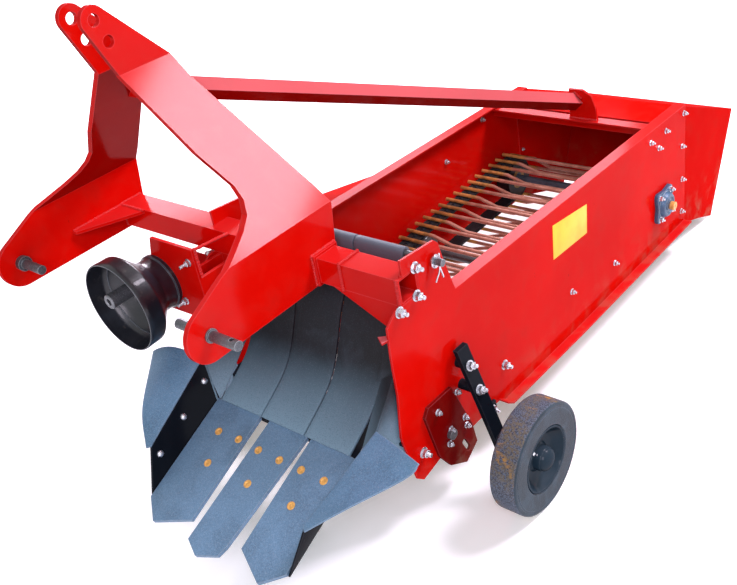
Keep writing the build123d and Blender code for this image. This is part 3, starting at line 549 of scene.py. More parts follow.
@dataclass(frozen=True)
class DriveSteel:
    """Drive shaft: a blue-grey bar, brassy hubs and black discs, told apart by their radius."""

    name: str
    middle_y: float
    middle_z: float
    bar: Colour = (0.085, 0.105, 0.145)
    hub: Colour = (0.42, 0.22, 0.05)
    disc: Colour = (0.010, 0.010, 0.013)
    bar_radius: float = 0.018
    hub_radius: float = 0.032

    def build(self) -> bpy.types.Material:
        """Makes the material.

        Returns:
            The material.
        """
        s = Shader(self.name)
        patch = s.noise(40.0, 5.0)
        y, z = s.axis(1) - self.middle_y, s.axis(2) - self.middle_z
        radius = y.hypot(z)
        colour = s.mix(patch.step(0.35, 0.7), self.hub, shade(self.hub, 0.5))
        colour = s.mix(radius.step(self.hub_radius - 0.001, self.hub_radius + 0.001), colour, self.disc)
        bar = s.mix(patch.step(0.4, 0.7), self.bar, shade(self.bar, 0.6))
        colour = s.mix(radius.step(self.bar_radius + 0.0005, self.bar_radius - 0.0005), colour, bar)
        return s.finish(colour, patch * 0.2 + 0.35, patch, 0.0003, Metallic=0.2)


@dataclass(frozen=True)
class Plastic:
    """Moulded guard plastic: near black, bluish where it is scuffed, lighter along its lips."""

    name: str = "guard_plastic"
    colour: Colour = (0.004, 0.005, 0.009)
    scuff: Colour = (0.022, 0.036, 0.055)

    def build(self) -> bpy.types.Material:
        """Makes the material.

        Returns:
            The material.
        """
        s = Shader(self.name)
        patch = s.noise(9.0, 4.0)
        fine = s.noise(500.0, 2.0)
        colour = s.mix(patch.step(0.4, 0.75) * 0.6, self.colour, self.scuff)
        colour = s.mix(s.edge(0.003) * 0.5, colour, (0.16, 0.20, 0.24))
        colour = s.mix(s.noise(45.0, 5.0).step(0.62, 0.75) * 0.2, colour, (0.20, 0.18, 0.15))
        return s.finish(colour, patch * 0.2 + 0.26, fine, 0.0002, Coat_Weight=0.15)


@dataclass(frozen=True)
class BlankPlate:
    """Blank yellow foil, a little faded and scratched."""

    name: str = "yellow_foil"
    colour: Colour = (0.86, 0.55, 0.012)

    def build(self) -> bpy.types.Material:
        """Makes the material.

        Returns:
            The material.
        """
        s = Shader(self.name)
        patch = s.noise(28.0, 5.0)
        scratch = s.noise(130.0, 3.0, stretch=(1.0, 0.2, 1.0)).step(0.68, 0.74)
        colour = s.mix(patch.step(0.35, 0.7), self.colour, shade(self.colour, 0.86))
        colour = s.mix(scratch * 0.6, colour, (0.45, 0.25, 0.02))
        return s.finish(colour, patch * 0.15 + 0.35, patch, 0.0001, 0.0004)


class Finishes:
    """Every finish of the machine, by the record's material slot or by its own name."""

    # finish of nodes whose name starts so, where it isn't their slot's own
    OWN = {"filler_plate": "apron_rubber", "rear_hood": "hood_red", "drive_shaft": "drive_steel",
           "tie_bar": "tie_red"}

    def __init__(self) -> None:
        """Builds the materials."""
        low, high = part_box("rod_web")
        shaft_low, shaft_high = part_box("drive_shaft")
        red = (0.57, 0.0028, 0.0010)
        slate = (0.125, 0.235, 0.36)
        finishes = {
            "red_paint": Paint("gloss_red_paint", red),
            # hood_red: the body red a tenth darker, painted shade for the inside of the hood
            "hood_red": Paint("hood_red_paint", shade(red, 0.9), coat=0.015, film=0.0),
            # tie_red: the body red a fifth darker, painted shade for the tie bar's shaded sides, with a
            # strong pink painted highlight on its top
            "tie_red": Paint("tie_bar_paint", shade(red, 0.8), film=0.3),
            "dark_red_paint": Paint("dark_red_paint", (0.15, 0.001, 0.001), coat=0.04, film=0.0),
            # on black paint and on the rims the top sheen is a grey painted highlight on upward faces
            "black_paint": Paint("black_paint", (0.005, 0.007, 0.011), 0.34, 0.12, 1.6, film=0.02,
                                 film_colour=(0.25, 0.27, 0.3), dust=(0.03, 0.04, 0.05)),
            "share_steel": Steel("share_steel", slate, shade(slate, 0.78), metallic=0.1, roughness=0.46,
                                 grain=(1, 1, 1), wear=0.35, rust=0.04),
            "wing_steel": Steel("wing_steel", (0.10, 0.21, 0.33), (0.078, 0.168, 0.265), metallic=0.1,
                                roughness=0.44, grain=(1, 1, 1), wear=0.35, rust=0.04),
            "pin_steel": Steel("pin_steel", (0.13, 0.14, 0.155), (0.07, 0.075, 0.085), grain=(1, 1, 0.15)),
            "rod_steel": RodSteel("web_rod_steel", (low.x + high.x) / 2, (high.x - low.x) / 2),
            "shaft_steel": Steel("shaft_steel", (0.14, 0.145, 0.16), (0.08, 0.085, 0.095), grain=(0.2, 1, 1)),
            "drive_steel": DriveSteel("drive_shaft_steel", (shaft_low.y + shaft_high.y) / 2,
                                      (shaft_low.z + shaft_high.z) / 2),
            "bearing_iron": Steel("bearing_iron", (0.025, 0.095, 0.19), (0.018, 0.055, 0.11), metallic=0.1),
            "gearbox_iron": Paint("gearbox_paint", (0.50, 0.006, 0.004), 0.42, 0.08),
            "rim_paint": Paint("rim_paint", (0.013, 0.027, 0.040), 0.4, 0.15, 1.6, film=0.03,
                               film_colour=(0.3, 0.33, 0.36), dust=(0.06, 0.07, 0.08)),
            # apron rubber: the near black colour is painted shade from the machine above, and the foot is the
            # lit blue-grey low down
            "apron_rubber": Rubber("apron_rubber", (0.0035, 0.0035, 0.007), (0.21, 0.28, 0.34), dust=0.1,
                                   dust_colour=(0.13, 0.17, 0.22), foot=(0.20, 0.33, 0.42),
                                   foot_low=0.25, foot_top=0.43),
            "belt_rubber": Rubber("belt_rubber", (0.008, 0.008, 0.010), (0.04, 0.04, 0.045), dust=0.2),
            "tyre_rubber": TyreRubber(),
            "guard_plastic": Plastic(),
            "zinc": Plating("white_zinc", (0.64, 0.66, 0.72), 0.26, (0.26, 0.21, 0.20), 0.85),
            "yellow_zinc": Plating("yellow_zinc", (0.86, 0.46, 0.12), 0.34, metallic=0.3),
            "foil": BlankPlate(),
        }
        self.materials = {slot: finish.build() for slot, finish in finishes.items()}

    def dress(self, piece: bpy.types.Object, slot: str) -> None:
        """Gives a piece one finish all over."""
        piece.data.materials.clear()
        piece.data.materials.append(self.materials[slot])

    def dress_nodes(self, nodes: dict, record: dict) -> None:
        """Gives every packed node the finish of its material slot.

        Args:
            nodes: The packed nodes by name.
            record: The record, which gives their slots.
        """
        for row in record["subparts"]:
            name = row["node"]
            own = [finish for start, finish in self.OWN.items() if name.startswith(start)]
            self.dress(nodes[name], own[0] if own else row["material_slot"])


# ---------------------------------------------------------------- modelling
def deselect() -> None:
    """Leaves nothing selected."""
    bpy.ops.object.select_all(action="DESELECT")


def alone(piece: bpy.types.Object) -> None:
    """Selects one piece and makes it active.

    Args:
        piece: The piece.
    """
    deselect()
    piece.select_set(True)
    bpy.context.view_layer.objects.active = piece


@contextmanager
def editing(piece: bpy.types.Object) -> Iterator[None]:
    """Edit mode on one piece, with the faces that were picked before.

    Args:
        piece: The piece.
    """
    alone(piece)
    bpy.context.tool_settings.mesh_select_mode = (False, False, True)
    bpy.ops.object.mode_set(mode="EDIT")
    yield
    bpy.ops.object.mode_set(mode="OBJECT")


def pick_faces(piece: bpy.types.Object, test: Callable[[bpy.types.MeshPolygon], bool]) -> None:
    """Selects the faces that pass the test, and nothing else.

    Args:
        piece: The piece.
        test: Says whether a face is picked.
    """
    mesh = piece.data
    for group in (mesh.vertices, mesh.edges, mesh.polygons):
        group.foreach_set("select", [False] * len(group))
    for face in mesh.polygons:
        face.select = test(face)


def extrude(rise: float) -> None:
    """Draws the picked faces out along Z, by millimetres."""
    bpy.ops.mesh.extrude_region_move(TRANSFORM_OT_translate={"value": (0.0, 0.0, rise * MM)})


def closed(piece: bpy.types.Object, merge: float = 0.0) -> bpy.types.Object:
    """Turns every face outwards, after merging points nearer than merge in metres.

    Args:
        piece: The piece.
        merge: Distance in metres below which points merge, or 0 to keep them all.

    Returns:
        The piece.
    """
    with editing(piece):
        bpy.ops.mesh.select_all(action="SELECT")
        if merge:
            bpy.ops.mesh.remove_doubles(threshold=merge)
        bpy.ops.mesh.normals_make_consistent(inside=False)
    return piece


def modify(piece: bpy.types.Object, kind: str, **settings: object) -> None:
    """Adds a modifier with its settings and applies it.

    Args:
        piece: The piece.
        kind: Type of the modifier.
        settings: Its settings by name.
    """
    alone(piece)
    modifier = piece.modifiers.new(kind.title(), kind)
    for key, value in settings.items():
        setattr(modifier, key, value)
    bpy.ops.object.modifier_apply(modifier=modifier.name)


def settle(piece: bpy.types.Object, matrix: Matrix | None = None) -> bpy.types.Object:
    """Moves a piece by the matrix and applies its place to its mesh.

    Args:
        piece: The piece.
        matrix: Move to make first, if any.

    Returns:
        The piece, its object at the origin.
    """
    alone(piece)
    if matrix is not None:
        piece.matrix_world = matrix @ piece.matrix_world
    bpy.ops.object.transform_apply(location=True, rotation=True, scale=True)
    return piece


def smooth(piece: bpy.types.Object, degrees: float = 32.0) -> bpy.types.Object:
    """Shades a piece smooth up to an angle.

    Args:
        piece: The piece.
        degrees: Angle above which an edge stays sharp.

    Returns:
        The piece.
    """
    alone(piece)
    bpy.ops.object.shade_smooth_by_angle(angle=math.radians(degrees))
    return piece


def aimed(at: Vector, axis: Vector, turn: float = 0.0) -> Matrix:
    """Matrix that stands a piece's own Z along an axis at a place.

    Args:
        at: Where its origin goes.
        axis: Where its Z points.
        turn: Turn about its Z, in degrees.

    Returns:
        The matrix.
    """
    way = axis.normalized().to_track_quat("Z", "Y").to_matrix().to_4x4()
    return Matrix.Translation(at) @ way @ Matrix.Rotation(math.radians(turn), 4, "Z")


def copies(master: bpy.types.Object, places: Sequence[Matrix], name: str) -> bpy.types.Object:
    """One joined piece of copies of a master, which is removed.

    Args:
        master: The piece, modelled once at the origin.
        places: One matrix for each copy.
        name: Name of the joined piece.

    Returns:
        The joined piece.
    """
    deselect()
    for matrix in places:
        twin = master.copy()
        twin.data = master.data.copy()
        twin.data.transform(matrix)
        bpy.context.collection.objects.link(twin)
        twin.select_set(True)
        bpy.context.view_layer.objects.active = twin
    bpy.ops.object.join()
    joined = bpy.context.view_layer.objects.active
    joined.name = name
    bpy.data.objects.remove(master)
    return joined


def merged(pieces: Sequence[bpy.types.Object], name: str) -> bpy.types.Object:
    """The pieces as one, under a new name.

    Args:
        pieces: The pieces, the first of which stays.
        name: The new name.

    Returns:
        The joined piece.
    """
    deselect()
    for piece in pieces:
        piece.select_set(True)
    bpy.context.view_layer.objects.active = pieces[0]
    bpy.ops.object.join()
    pieces[0].name = name
    return pieces[0]


def turned(name: str, profile: Sequence[tuple[float, float]], segments: int = 48,
           ring: bool = False) -> bpy.types.Object:
    """A turned piece about its own Z: each step draws out the end face, then widens or narrows it.

    Args:
        name: Name of the piece.
        profile: Radius and height of each step, in millimetres.
        segments: Corners round the piece.
        ring: True where the profile closes on its first point round a hole.

    Returns:
        The piece, at the origin.
    """
    (r0, h0), (r1, h1) = profile[:2]
    deselect()
    bpy.ops.mesh.primitive_cylinder_add(vertices=segments, radius=r0 * MM, depth=(h1 - h0) * MM,
                                        location=(0.0, 0.0, (h0 + h1) / 2 * MM))
    piece = settle(bpy.context.object)
    piece.name = name
    pick_faces(piece, lambda face: face.normal.z > 0.9)
    with editing(piece):
        bpy.ops.transform.resize(value=(r1 / r0, r1 / r0, 1.0), center_override=(0.0, 0.0, h1 * MM))
        for (ra, ha), (rb, hb) in zip(profile[1:], profile[2:]):
            extrude(hb - ha)
            bpy.ops.transform.resize(value=(rb / ra, rb / ra, 1.0), center_override=(0.0, 0.0, hb * MM))
    if ring:
        pick_faces(piece, lambda face: len(face.vertices) > 4)
        with editing(piece):
            bpy.ops.mesh.delete(type="FACE")
        closed(piece, SEAM)
    return smooth(piece)


def arc(radius: float, height: float, size: float, start: float, end: float, steps: int = 5) -> list:
    """Steps of a turned profile round a quarter or so of a circle.

    Args:
        radius: Radius of the circle's middle from the axis.
        height: Height of the circle's middle.
        size: The circle's own radius.
        start: First angle in degrees, 0 being outwards and 90 along the axis.
        end: Last angle.
        steps: Number of steps.

    Returns:
        Radius and height of each step.
    """
    angles = [math.radians(start + (end - start) * i / steps) for i in range(steps + 1)]
    return [(radius + size * math.cos(a), height + size * math.sin(a)) for a in angles]


def plate(name: str, corners: Sequence[tuple[float, float]], thick: float, bevel: float) -> bpy.types.Object:
    """A flat plate on its own XY plane, drawn out along Z and bevelled.

    Args:
        name: Name of the piece.
        corners: Its outline in millimetres.
        thick: Thickness in millimetres.
        bevel: Width of the bevel in millimetres.

    Returns:
        The piece, at the origin.
    """
    deselect()
    bpy.ops.mesh.primitive_circle_add(vertices=len(corners), fill_type="NGON")
    piece = bpy.context.object
    piece.name = name
    for vertex, (x, y) in zip(piece.data.vertices, corners):
        vertex.co = Vector((x, y, 0.0)) * MM
    pick_faces(piece, lambda face: True)
    with editing(piece):
        extrude(thick)
    closed(piece)
    modify(piece, "BEVEL", width=bevel * MM, segments=2)
    return smooth(piece)


def sheet(name: str, cells: tuple[int, int], spot: Callable[[float, float], Vector], thick: float,
          bevel: float, degrees: float = 32.0) -> bpy.types.Object:
    """A shaped sheet with its wall and soft edges.

    Args:
        name: Name of the piece.
        cells: Faces across and along.
        spot: Gives the place in metres for shares 0 to 1 across and along.
        thick: Thickness in millimetres.
        bevel: Width of the bevel in millimetres.
        degrees: Angle up to which it is shaded smooth.

    Returns:
        The piece, in place.
    """
    deselect()
    bpy.ops.mesh.primitive_grid_add(x_subdivisions=cells[0], y_subdivisions=cells[1], size=1.0)
    piece = bpy.context.object
    piece.name = name
    for vertex in piece.data.vertices:
        vertex.co = spot(vertex.co.x + 0.5, vertex.co.y + 0.5)
    modify(piece, "SOLIDIFY", thickness=thick * MM, offset=0.0)
    modify(piece, "BEVEL", width=bevel * MM, segments=2)
    return smooth(settle(closed(piece)), degrees)


def on_side(piece: bpy.types.Object, drawing: Drawing, x: float) -> bpy.types.Object:
    """Stands a plate drawn as Y and Z upright, its thickness along +X from x."""
    turn = Matrix(((0, 0, 1, 0), (1, 0, 0, 0), (0, 1, 0, 0), (0, 0, 0, 1)))
    return settle(piece, Matrix.Translation(drawing.at(x, 0, 0)) @ turn)


def wire(name: str, points: Sequence[Vector], radius: float, resolution: int = 2,
         bent: bool = False) -> bpy.types.Object:
    """A round bar along points in metres, as a mesh.

    Args:
        name: Name of the piece.
        points: Its centre line.
        radius: Radius in millimetres.
        resolution: Roundness of the bar.
        bent: True where it bends smoothly between the points.

    Returns:
        The piece.
    """
    deselect()
    bpy.ops.curve.primitive_nurbs_path_add()
    piece = bpy.context.object
    line = piece.data
    line.splines.clear()
    spline = line.splines.new("NURBS" if bent else "POLY")
    spline.points.add(len(points) - 1)
    for knot, point in zip(spline.points, points):
        knot.co = (*point, 1.0)
    if bent:
        spline.order_u = 3
        spline.use_endpoint_u = True
        spline.resolution_u = 5
    line.dimensions = "3D"
    line.bevel_depth = radius * MM
    line.bevel_resolution = resolution
    line.use_fill_caps = True
    bpy.ops.object.convert(target="MESH")
    piece = bpy.context.object
    piece.name = name
    return smooth(settle(closed(piece, SEAM / 2)), 50.0)


# ---------------------------------------------------------------- sub-assemblies
@dataclass
class SubAssembly:
    """A group of pieces that ride and are dressed together."""

    drawing: Drawing
    finishes: Finishes

    def own(self, piece: bpy.types.Object, slot: str, finish: str = "", body: str = "frame",
            nodes: Sequence[str] = (), name: str = "") -> bpy.types.Object:
        """Dresses a finished piece, sets it on its body and reports it.

        Args:
            piece: The piece, in place.
            slot: The record's material slot.
            finish: Finish, where it isn't the slot's own.
            body: Body that it rides on.
            nodes: Packed nodes that it stands for.
            name: Name, where it isn't named yet.

        Returns:
            The piece.
        """
        piece.name = name or piece.name
        self.finishes.dress(piece, finish or slot)
        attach(piece, body)
        if nodes:
            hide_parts(*nodes)
        LOG.info("%s: %d faces", piece.name, len(piece.data.polygons))
        return piece

    def nuts(self, size: float, stud: float, places: Sequence[Matrix], name: str) -> None:
        """Zinc-plated nuts at the places, as one piece; size and stud are those of hex_nut."""
        self.own(copies(hex_nut(size, stud), places, name), "shaft_steel", "zinc")

    def build(self) -> None:
        """Makes the sub-assembly's pieces."""
        raise NotImplementedError


def box_end(node: str, side: Side) -> Vector:
    """Middle of the face of a node's box that looks to a side.

    Args:
        node: Name of the packed node.
        side: Where the face looks.

    Returns:
        The point, in metres.
    """
    low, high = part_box(node)
    end = (low + high) / 2
    end.x = high.x if side is Side.LEFT else low.x
    return end


def hex_nut(size: float, stud: float) -> bpy.types.Object:
    """A hexagon nut on its washer, with the stud's end standing out.

    Args:
        size: Radius over the nut's corners in millimetres.
        stud: How far the stud stands past the nut.

    Returns:
        The nut, its seat at the origin and its stud along Z.
    """
    washer_t, height, crown = 1.6, size * 0.95, size * 0.12
    deselect()
    bpy.ops.mesh.primitive_cylinder_add(vertices=6, radius=size * MM, depth=height * MM,
                                        location=(0, 0, (washer_t + height / 2) * MM))
    body = settle(bpy.context.object)
    pick_faces(body, lambda face: face.normal.z > 0.9)
    with editing(body):
        bpy.ops.mesh.inset(thickness=size * 0.16 * MM)
        bpy.ops.transform.translate(value=(0, 0, crown * MM))
    rim = size * 1.28
    washer = turned("washer", ((rim, 0.0), (rim, 1.3), (size * 1.18, washer_t), (1.0, washer_t)), 20)
    radius, top = size * 0.5, washer_t + height + crown
    steps = [(radius, 1.0), (radius, top)]
    turns = max(2, int(stud / 1.6))
    pitch = stud / turns
    for i in range(turns):
        steps += [(radius * 0.9, top + pitch * (i + 0.35)), (radius, top + pitch * (i + 0.8))]
    tip = top + stud + radius * 0.2
    steps += [(radius, top + stud), (radius * 0.75, tip), (0.3, tip)]
    return smooth(merged((body, washer, turned("stud", steps, 12)), "nut"), 25.0)


@dataclass
class Fastenings(SubAssembly):
    """Nuts, screws and rivets of the frame, each kind modelled once."""

    inner_left_x: float = 562.0
    inner_right_x: float = 10.0
    large: float = 10.0
    small: float = 6.5
    # y, z of nuts on the outside of a side panel
    large_nuts: tuple = ((27, 641), (20, 579), (-38, 573), (290, 224), (-39, 206))
    small_nuts: tuple = ((613, 242), (846, 200), (1284, 463), (1274, 364), (1276, 256), (1272, 150),
                         (1166, 457), (1071, 461), (1121, 424))
    # on the right a cover hides the screws up to this y and from this z upwards
    cover: tuple = (1210, 225)
    adjuster_t: float = 8.0
    adjust_nuts: tuple = ((91, 286), (18, 280), (106, 203), (109, 177), (52, 206), (41, 173))
    # y, z of nuts on the strut, x and z of a point of its outer face, and how far it leans out going down
    strut_nuts: tuple = ((119, 347), (120, 286))
    strut_face: tuple = (587.0, 392.0)
    strut_lean: float = 77 / 270
    tab: tuple = ((196, 168), (230, 163), (232, 134), (222, 126), (200, 130))
    tab_t: float = 8.0
    tab_nut: tuple = (213, 147)
    inner_bolts: tuple = ((868, 408), (1275, 274), (1071, 461), (1166, 457), (613, 242))
    # shares of the way along and up a share plate; its corners: foot front and rear, top front and rear
    side_rivets: tuple = ((0.15, 0.60), (0.55, 0.60), (0.93, 0.64))
    side_plate: tuple = ((216.5, -433, 165), (216.5, -189, 269), (239.5, -378, 264), (269.5, -163, 357))
    # x, z of studs through the drive plate, and its front face
    plate_studs: tuple = ((53, 619), (-1, 503))
    plate_face: float = -138.0
    # x from the share's middle, distance down the slope from the blades' rear edge
    blade_bolts: tuple = ((-155, 71), (-90, 68), (-128, 146), (-23, 71), (43, 71), (4, 147),
                          (108, 70), (174, 70), (136, 146))
    blade_rear: tuple = (-185, 278)
    blade_slope: float = 23.3
    # radius and height of a worn bolt head's steps, then of a rivet's dome as shares of its radius
    bolt_head: tuple = ((9.5, -0.6), (9.5, 0.9), (8.6, 1.4), (5.2, 1.2), (4.4, 0.35), (0.5, 0.3))
    dome: tuple = ((0.93, 0.3), (0.7, 0.58), (0.35, 0.72))
    rivet: float = 8.5
    pin_washer: tuple = ((15.0, 0.0), (15.0, 2.2), (9.0, 2.6), (1.0, 2.6))
    # the split pin's line, from the cross rod's middle line near its end
    split_pin: tuple = ((0, 0, -13), (4, 2, -30), (3, 4, -40), (0, 1, -20), (0, 0, 8), (3, 0, 14), (0, 3, 20),
                        (-3, 0, 14), (0, 0, 8), (0, -1, -20), (-3, -10, -34), (-4, -14, -42))

    def on_panel(self, side: Side, spots: Sequence, x: float, size: float, stud: float, name: str) -> None:
        """Nuts on the outer side of a panel or of what is bolted to it.

        Args:
            side: Which panel.
            spots: Y and Z of each nut.
            x: X on the left panel.
            size: Size of the nuts.
            stud: How far their studs stand out.
            name: Name of the piece.
        """
        rng = random.Random(len(spots) * 7 + side.value)
        way = Vector((side.value, 0, 0))
        out = self.drawing.across(side, x)
        places = [aimed(self.drawing.at(out, y, z), way, rng.uniform(0, 60)) for y, z in spots]
        self.nuts(size, stud, places, f"{name}_{side.word}")

    def build(self) -> None:
        """Makes every fastening."""
        for side in Side:
            self.build_panel(side)
        spots = []
        for x, way in ((self.inner_right_x, Vector((1, 0, 0))), (self.inner_left_x, Vector((-1, 0, 0)))):
            spots += [aimed(self.drawing.at(x, y, z), way) for y, z in self.inner_bolts]
        self.nuts(self.small, 4.0, spots, "inner_panel_nuts")
        self.build_blade_bolts()
        forward = Vector((0, -1, 0))
        places = [aimed(self.drawing.at(x, self.plate_face, z), forward, x) for x, z in self.plate_studs]
        self.nuts(self.small * 1.15, 16.0, places, "drive_plate_studs")
        for side in Side:
            self.build_side_rivets(side)
        for side in Side:
            self.build_split_pin(side)

    def build_panel(self, side: Side) -> None:
        """Nuts and screws outside one panel, and the tab behind its strut.

        Args:
            side: Which panel.
        """
        panel, (rear, low) = self.drawing.panel_x, self.cover
        rows = (("panel_nuts", self.large_nuts, panel, self.large, 9.0),
                ("panel_screws", self.small_nuts, panel, self.small, 5.0),
                ("adjuster_nuts", self.adjust_nuts, panel + self.adjuster_t, self.small, 4.0),
                ("tab_nut", (self.tab_nut,), panel + self.tab_t, self.large * 0.9, 8.0))
        for name, spots, x, size, stud in rows:
            covered = side is Side.RIGHT and name == "panel_screws"
            clear = [(y, z) for y, z in spots if not covered or y > rear or z < low]
            self.on_panel(side, clear, x, size, stud, name)
        self.build_strut_nuts(side)
        faces = [self.drawing.across(side, self.drawing.panel_x + t) for t in (0, self.tab_t)]
        tab = on_side(plate("tab", self.tab, self.tab_t, 1.0), self.drawing, min(faces))
        self.own(tab, "black_paint", name=f"strut_tab_{side.word}")

    def build_strut_nuts(self, side: Side) -> None:
        """Nuts on the strut's leaning outer face.

        Args:
            side: Which strut.
        """
        out, top = self.strut_face
        way = Vector((side.value, 0, self.strut_lean))
        places = []
        for y, z in self.strut_nuts:
            x = self.drawing.across(side, out + (top - z) * self.strut_lean)
            places.append(aimed(self.drawing.at(x, y, z), way, y))
        self.nuts(self.large, 8.0, places, f"strut_nuts_{side.word}")

    def build_blade_bolts(self) -> None:
        """Countersunk bolt heads with worn sockets, just proud of the blades."""
        slope = math.radians(self.blade_slope)
        up = Vector((0, -math.sin(slope), math.cos(slope)))
        down = Vector((0, -math.cos(slope), -math.sin(slope)))
        spots = []
        for x, along in self.blade_bolts:
            rear = self.drawing.at(self.drawing.share_middle + x, *self.blade_rear)
            spots.append(aimed(rear + down * along * MM, up, 11 * x))
        head = turned("bolt", self.bolt_head, 24)
        self.own(copies(head, spots, "blade_bolts"), "shaft_steel", "yellow_zinc")

    def build_side_rivets(self, side: Side) -> None:
        """Domed rivets on the inner face of a leaning share plate.

        Args:
            side: Which share plate.
        """
        foot_front, foot_rear, top_front, top_rear = (Vector(corner) for corner in self.side_plate)
        places = []
        for along, up in self.side_rivets:
            base, head = foot_front.lerp(foot_rear, along), top_front.lerp(top_rear, along)
            spot = base.lerp(head, up)
            normal = (foot_rear - foot_front).cross(head - base).normalized()
            normal *= -1 if normal.x > 0 else 1
            normal.x *= side.value
            x = self.drawing.share_middle + side.value * spot.x
            places.append(aimed(self.drawing.at(x, spot.y, spot.z), normal))
        r = self.rivet
        dome = [(r * out, r * height) for out, height in self.dome]
        rivet = turned("rivet", [(r, -0.5), (r, 0.4), *dome, (0.2, r * 0.76)], 18)
        self.own(copies(rivet, places, f"side_rivets_{side.word}"), "pin_steel", "zinc")

    def build_split_pin(self, side: Side) -> None:
        """Washer and split pin on one end of the cross rod.

        Args:
            side: Which end of the rod.
        """
        end = box_end("cross_rod", side)
        outward = Vector((side.value, 0, 0))
        washer = settle(turned("washer", self.pin_washer, 24), aimed(end - outward * 20 * MM, outward))
        middle = end - outward * 10 * MM
        pin = wire("split", [middle + Vector(point) * MM for point in self.split_pin], 1.7, 2, bent=True)
        self.own(merged((washer, pin), f"split_pin_{side.word}"), "pin_steel", "zinc")


@dataclass
class Welds(SubAssembly):
    """Weld beads, as overlapping scales along each seam, painted with the frame."""

    bead: float = 4.2
    pitch: float = 3.4
    flatness: float = 0.62
    # name, then pairs of ends in the drawing; a seam with {side} in its name lies on both sides
    seams: tuple = (
        ("tube_to_{side}_arm", (((329, -28, 640), (329, 32, 640)), ((329, -28, 580), (329, -28, 640)),
                                ((329, 32, 580), (329, 32, 640)))),
        ("joint_plate", (((342, -34, 646), (342, 38, 646)), ((342, -34, 574), (342, -34, 646)),
                         ((342, 38, 574), (342, 38, 646)), ((413, -28, 641), (413, 32, 641)),
                         ((413, -29, 580), (413, -29, 640)))),
        ("tube_to_panel", (((562, -13, 641), (562, 32, 641)), ((562, -29, 580), (562, -29, 640)))),
        ("{side}_gusset", (((329, -176, 638), (329, -30, 638)), ((329, -29, 638), (240, -29, 638)))),
        ("tie_to_mast", (((-24, -36, 990), (0, -35, 1013)), ((0, -35, 1013), (24, -36, 990)))),
        ("tie_to_gusset", (((291, 1121, 545), (311, 1121, 562)), ((311, 1121, 562), (331, 1121, 545)))),
        ("gusset_to_member", (((292, 1122, 483), (376, 1122, 483)), ((292, 1130, 483), (376, 1130, 483)))),
        ("member_to_panels", (((11, 1109, 483), (11, 1143, 483)), ((561, 1109, 483), (561, 1143, 483)))),
        ("drive_plate_ribs", (((74, -131, 652), (74, -30, 641)), ((76, -129, 590), (76, -129, 652)))),
    )

    def build(self) -> None:
        """Lays each seam's bead."""
        for name, lines in self.seams:
            for side in Side:
                if side is Side.LEFT or "{side}" in name:
                    self.lay(name.format(side=side.word), lines, side.value)

    def lay(self, name: str, lines: Sequence, way: int) -> None:
        """One seam's bead.

        Args:
            name: Name of the seam.
            lines: Pairs of ends in the drawing.
            way: -1 to lay it at the mirrored X, else 1.
        """
        deselect()
        bpy.ops.mesh.primitive_uv_sphere_add(segments=8, ring_count=5, radius=self.bead * MM)
        scale = bpy.context.object
        with editing(scale):
            bpy.ops.mesh.select_all(action="SELECT")
            bpy.ops.transform.resize(value=(1.0, 1.0, self.flatness))
        smooth(scale, 80.0)
        rng = random.Random(name)
        places = []
        for ends in lines:
            a, b = (self.drawing.at(x * way, y, z) for x, y, z in ends)
            count = max(2, round((b - a).length / (self.pitch * MM)))
            for i in range(count + 1):
                wander = Vector(rng.uniform(-0.5, 0.5) * MM for _ in range(3))
                tilt = aimed(a.lerp(b, i / count) + wander, (b - a) + wander * 40, rng.uniform(0, 90))
                places.append(tilt @ Matrix.Scale(rng.uniform(0.85, 1.12), 4))
        self.own(copies(scale, places, f"weld_{name}"), "red_paint")


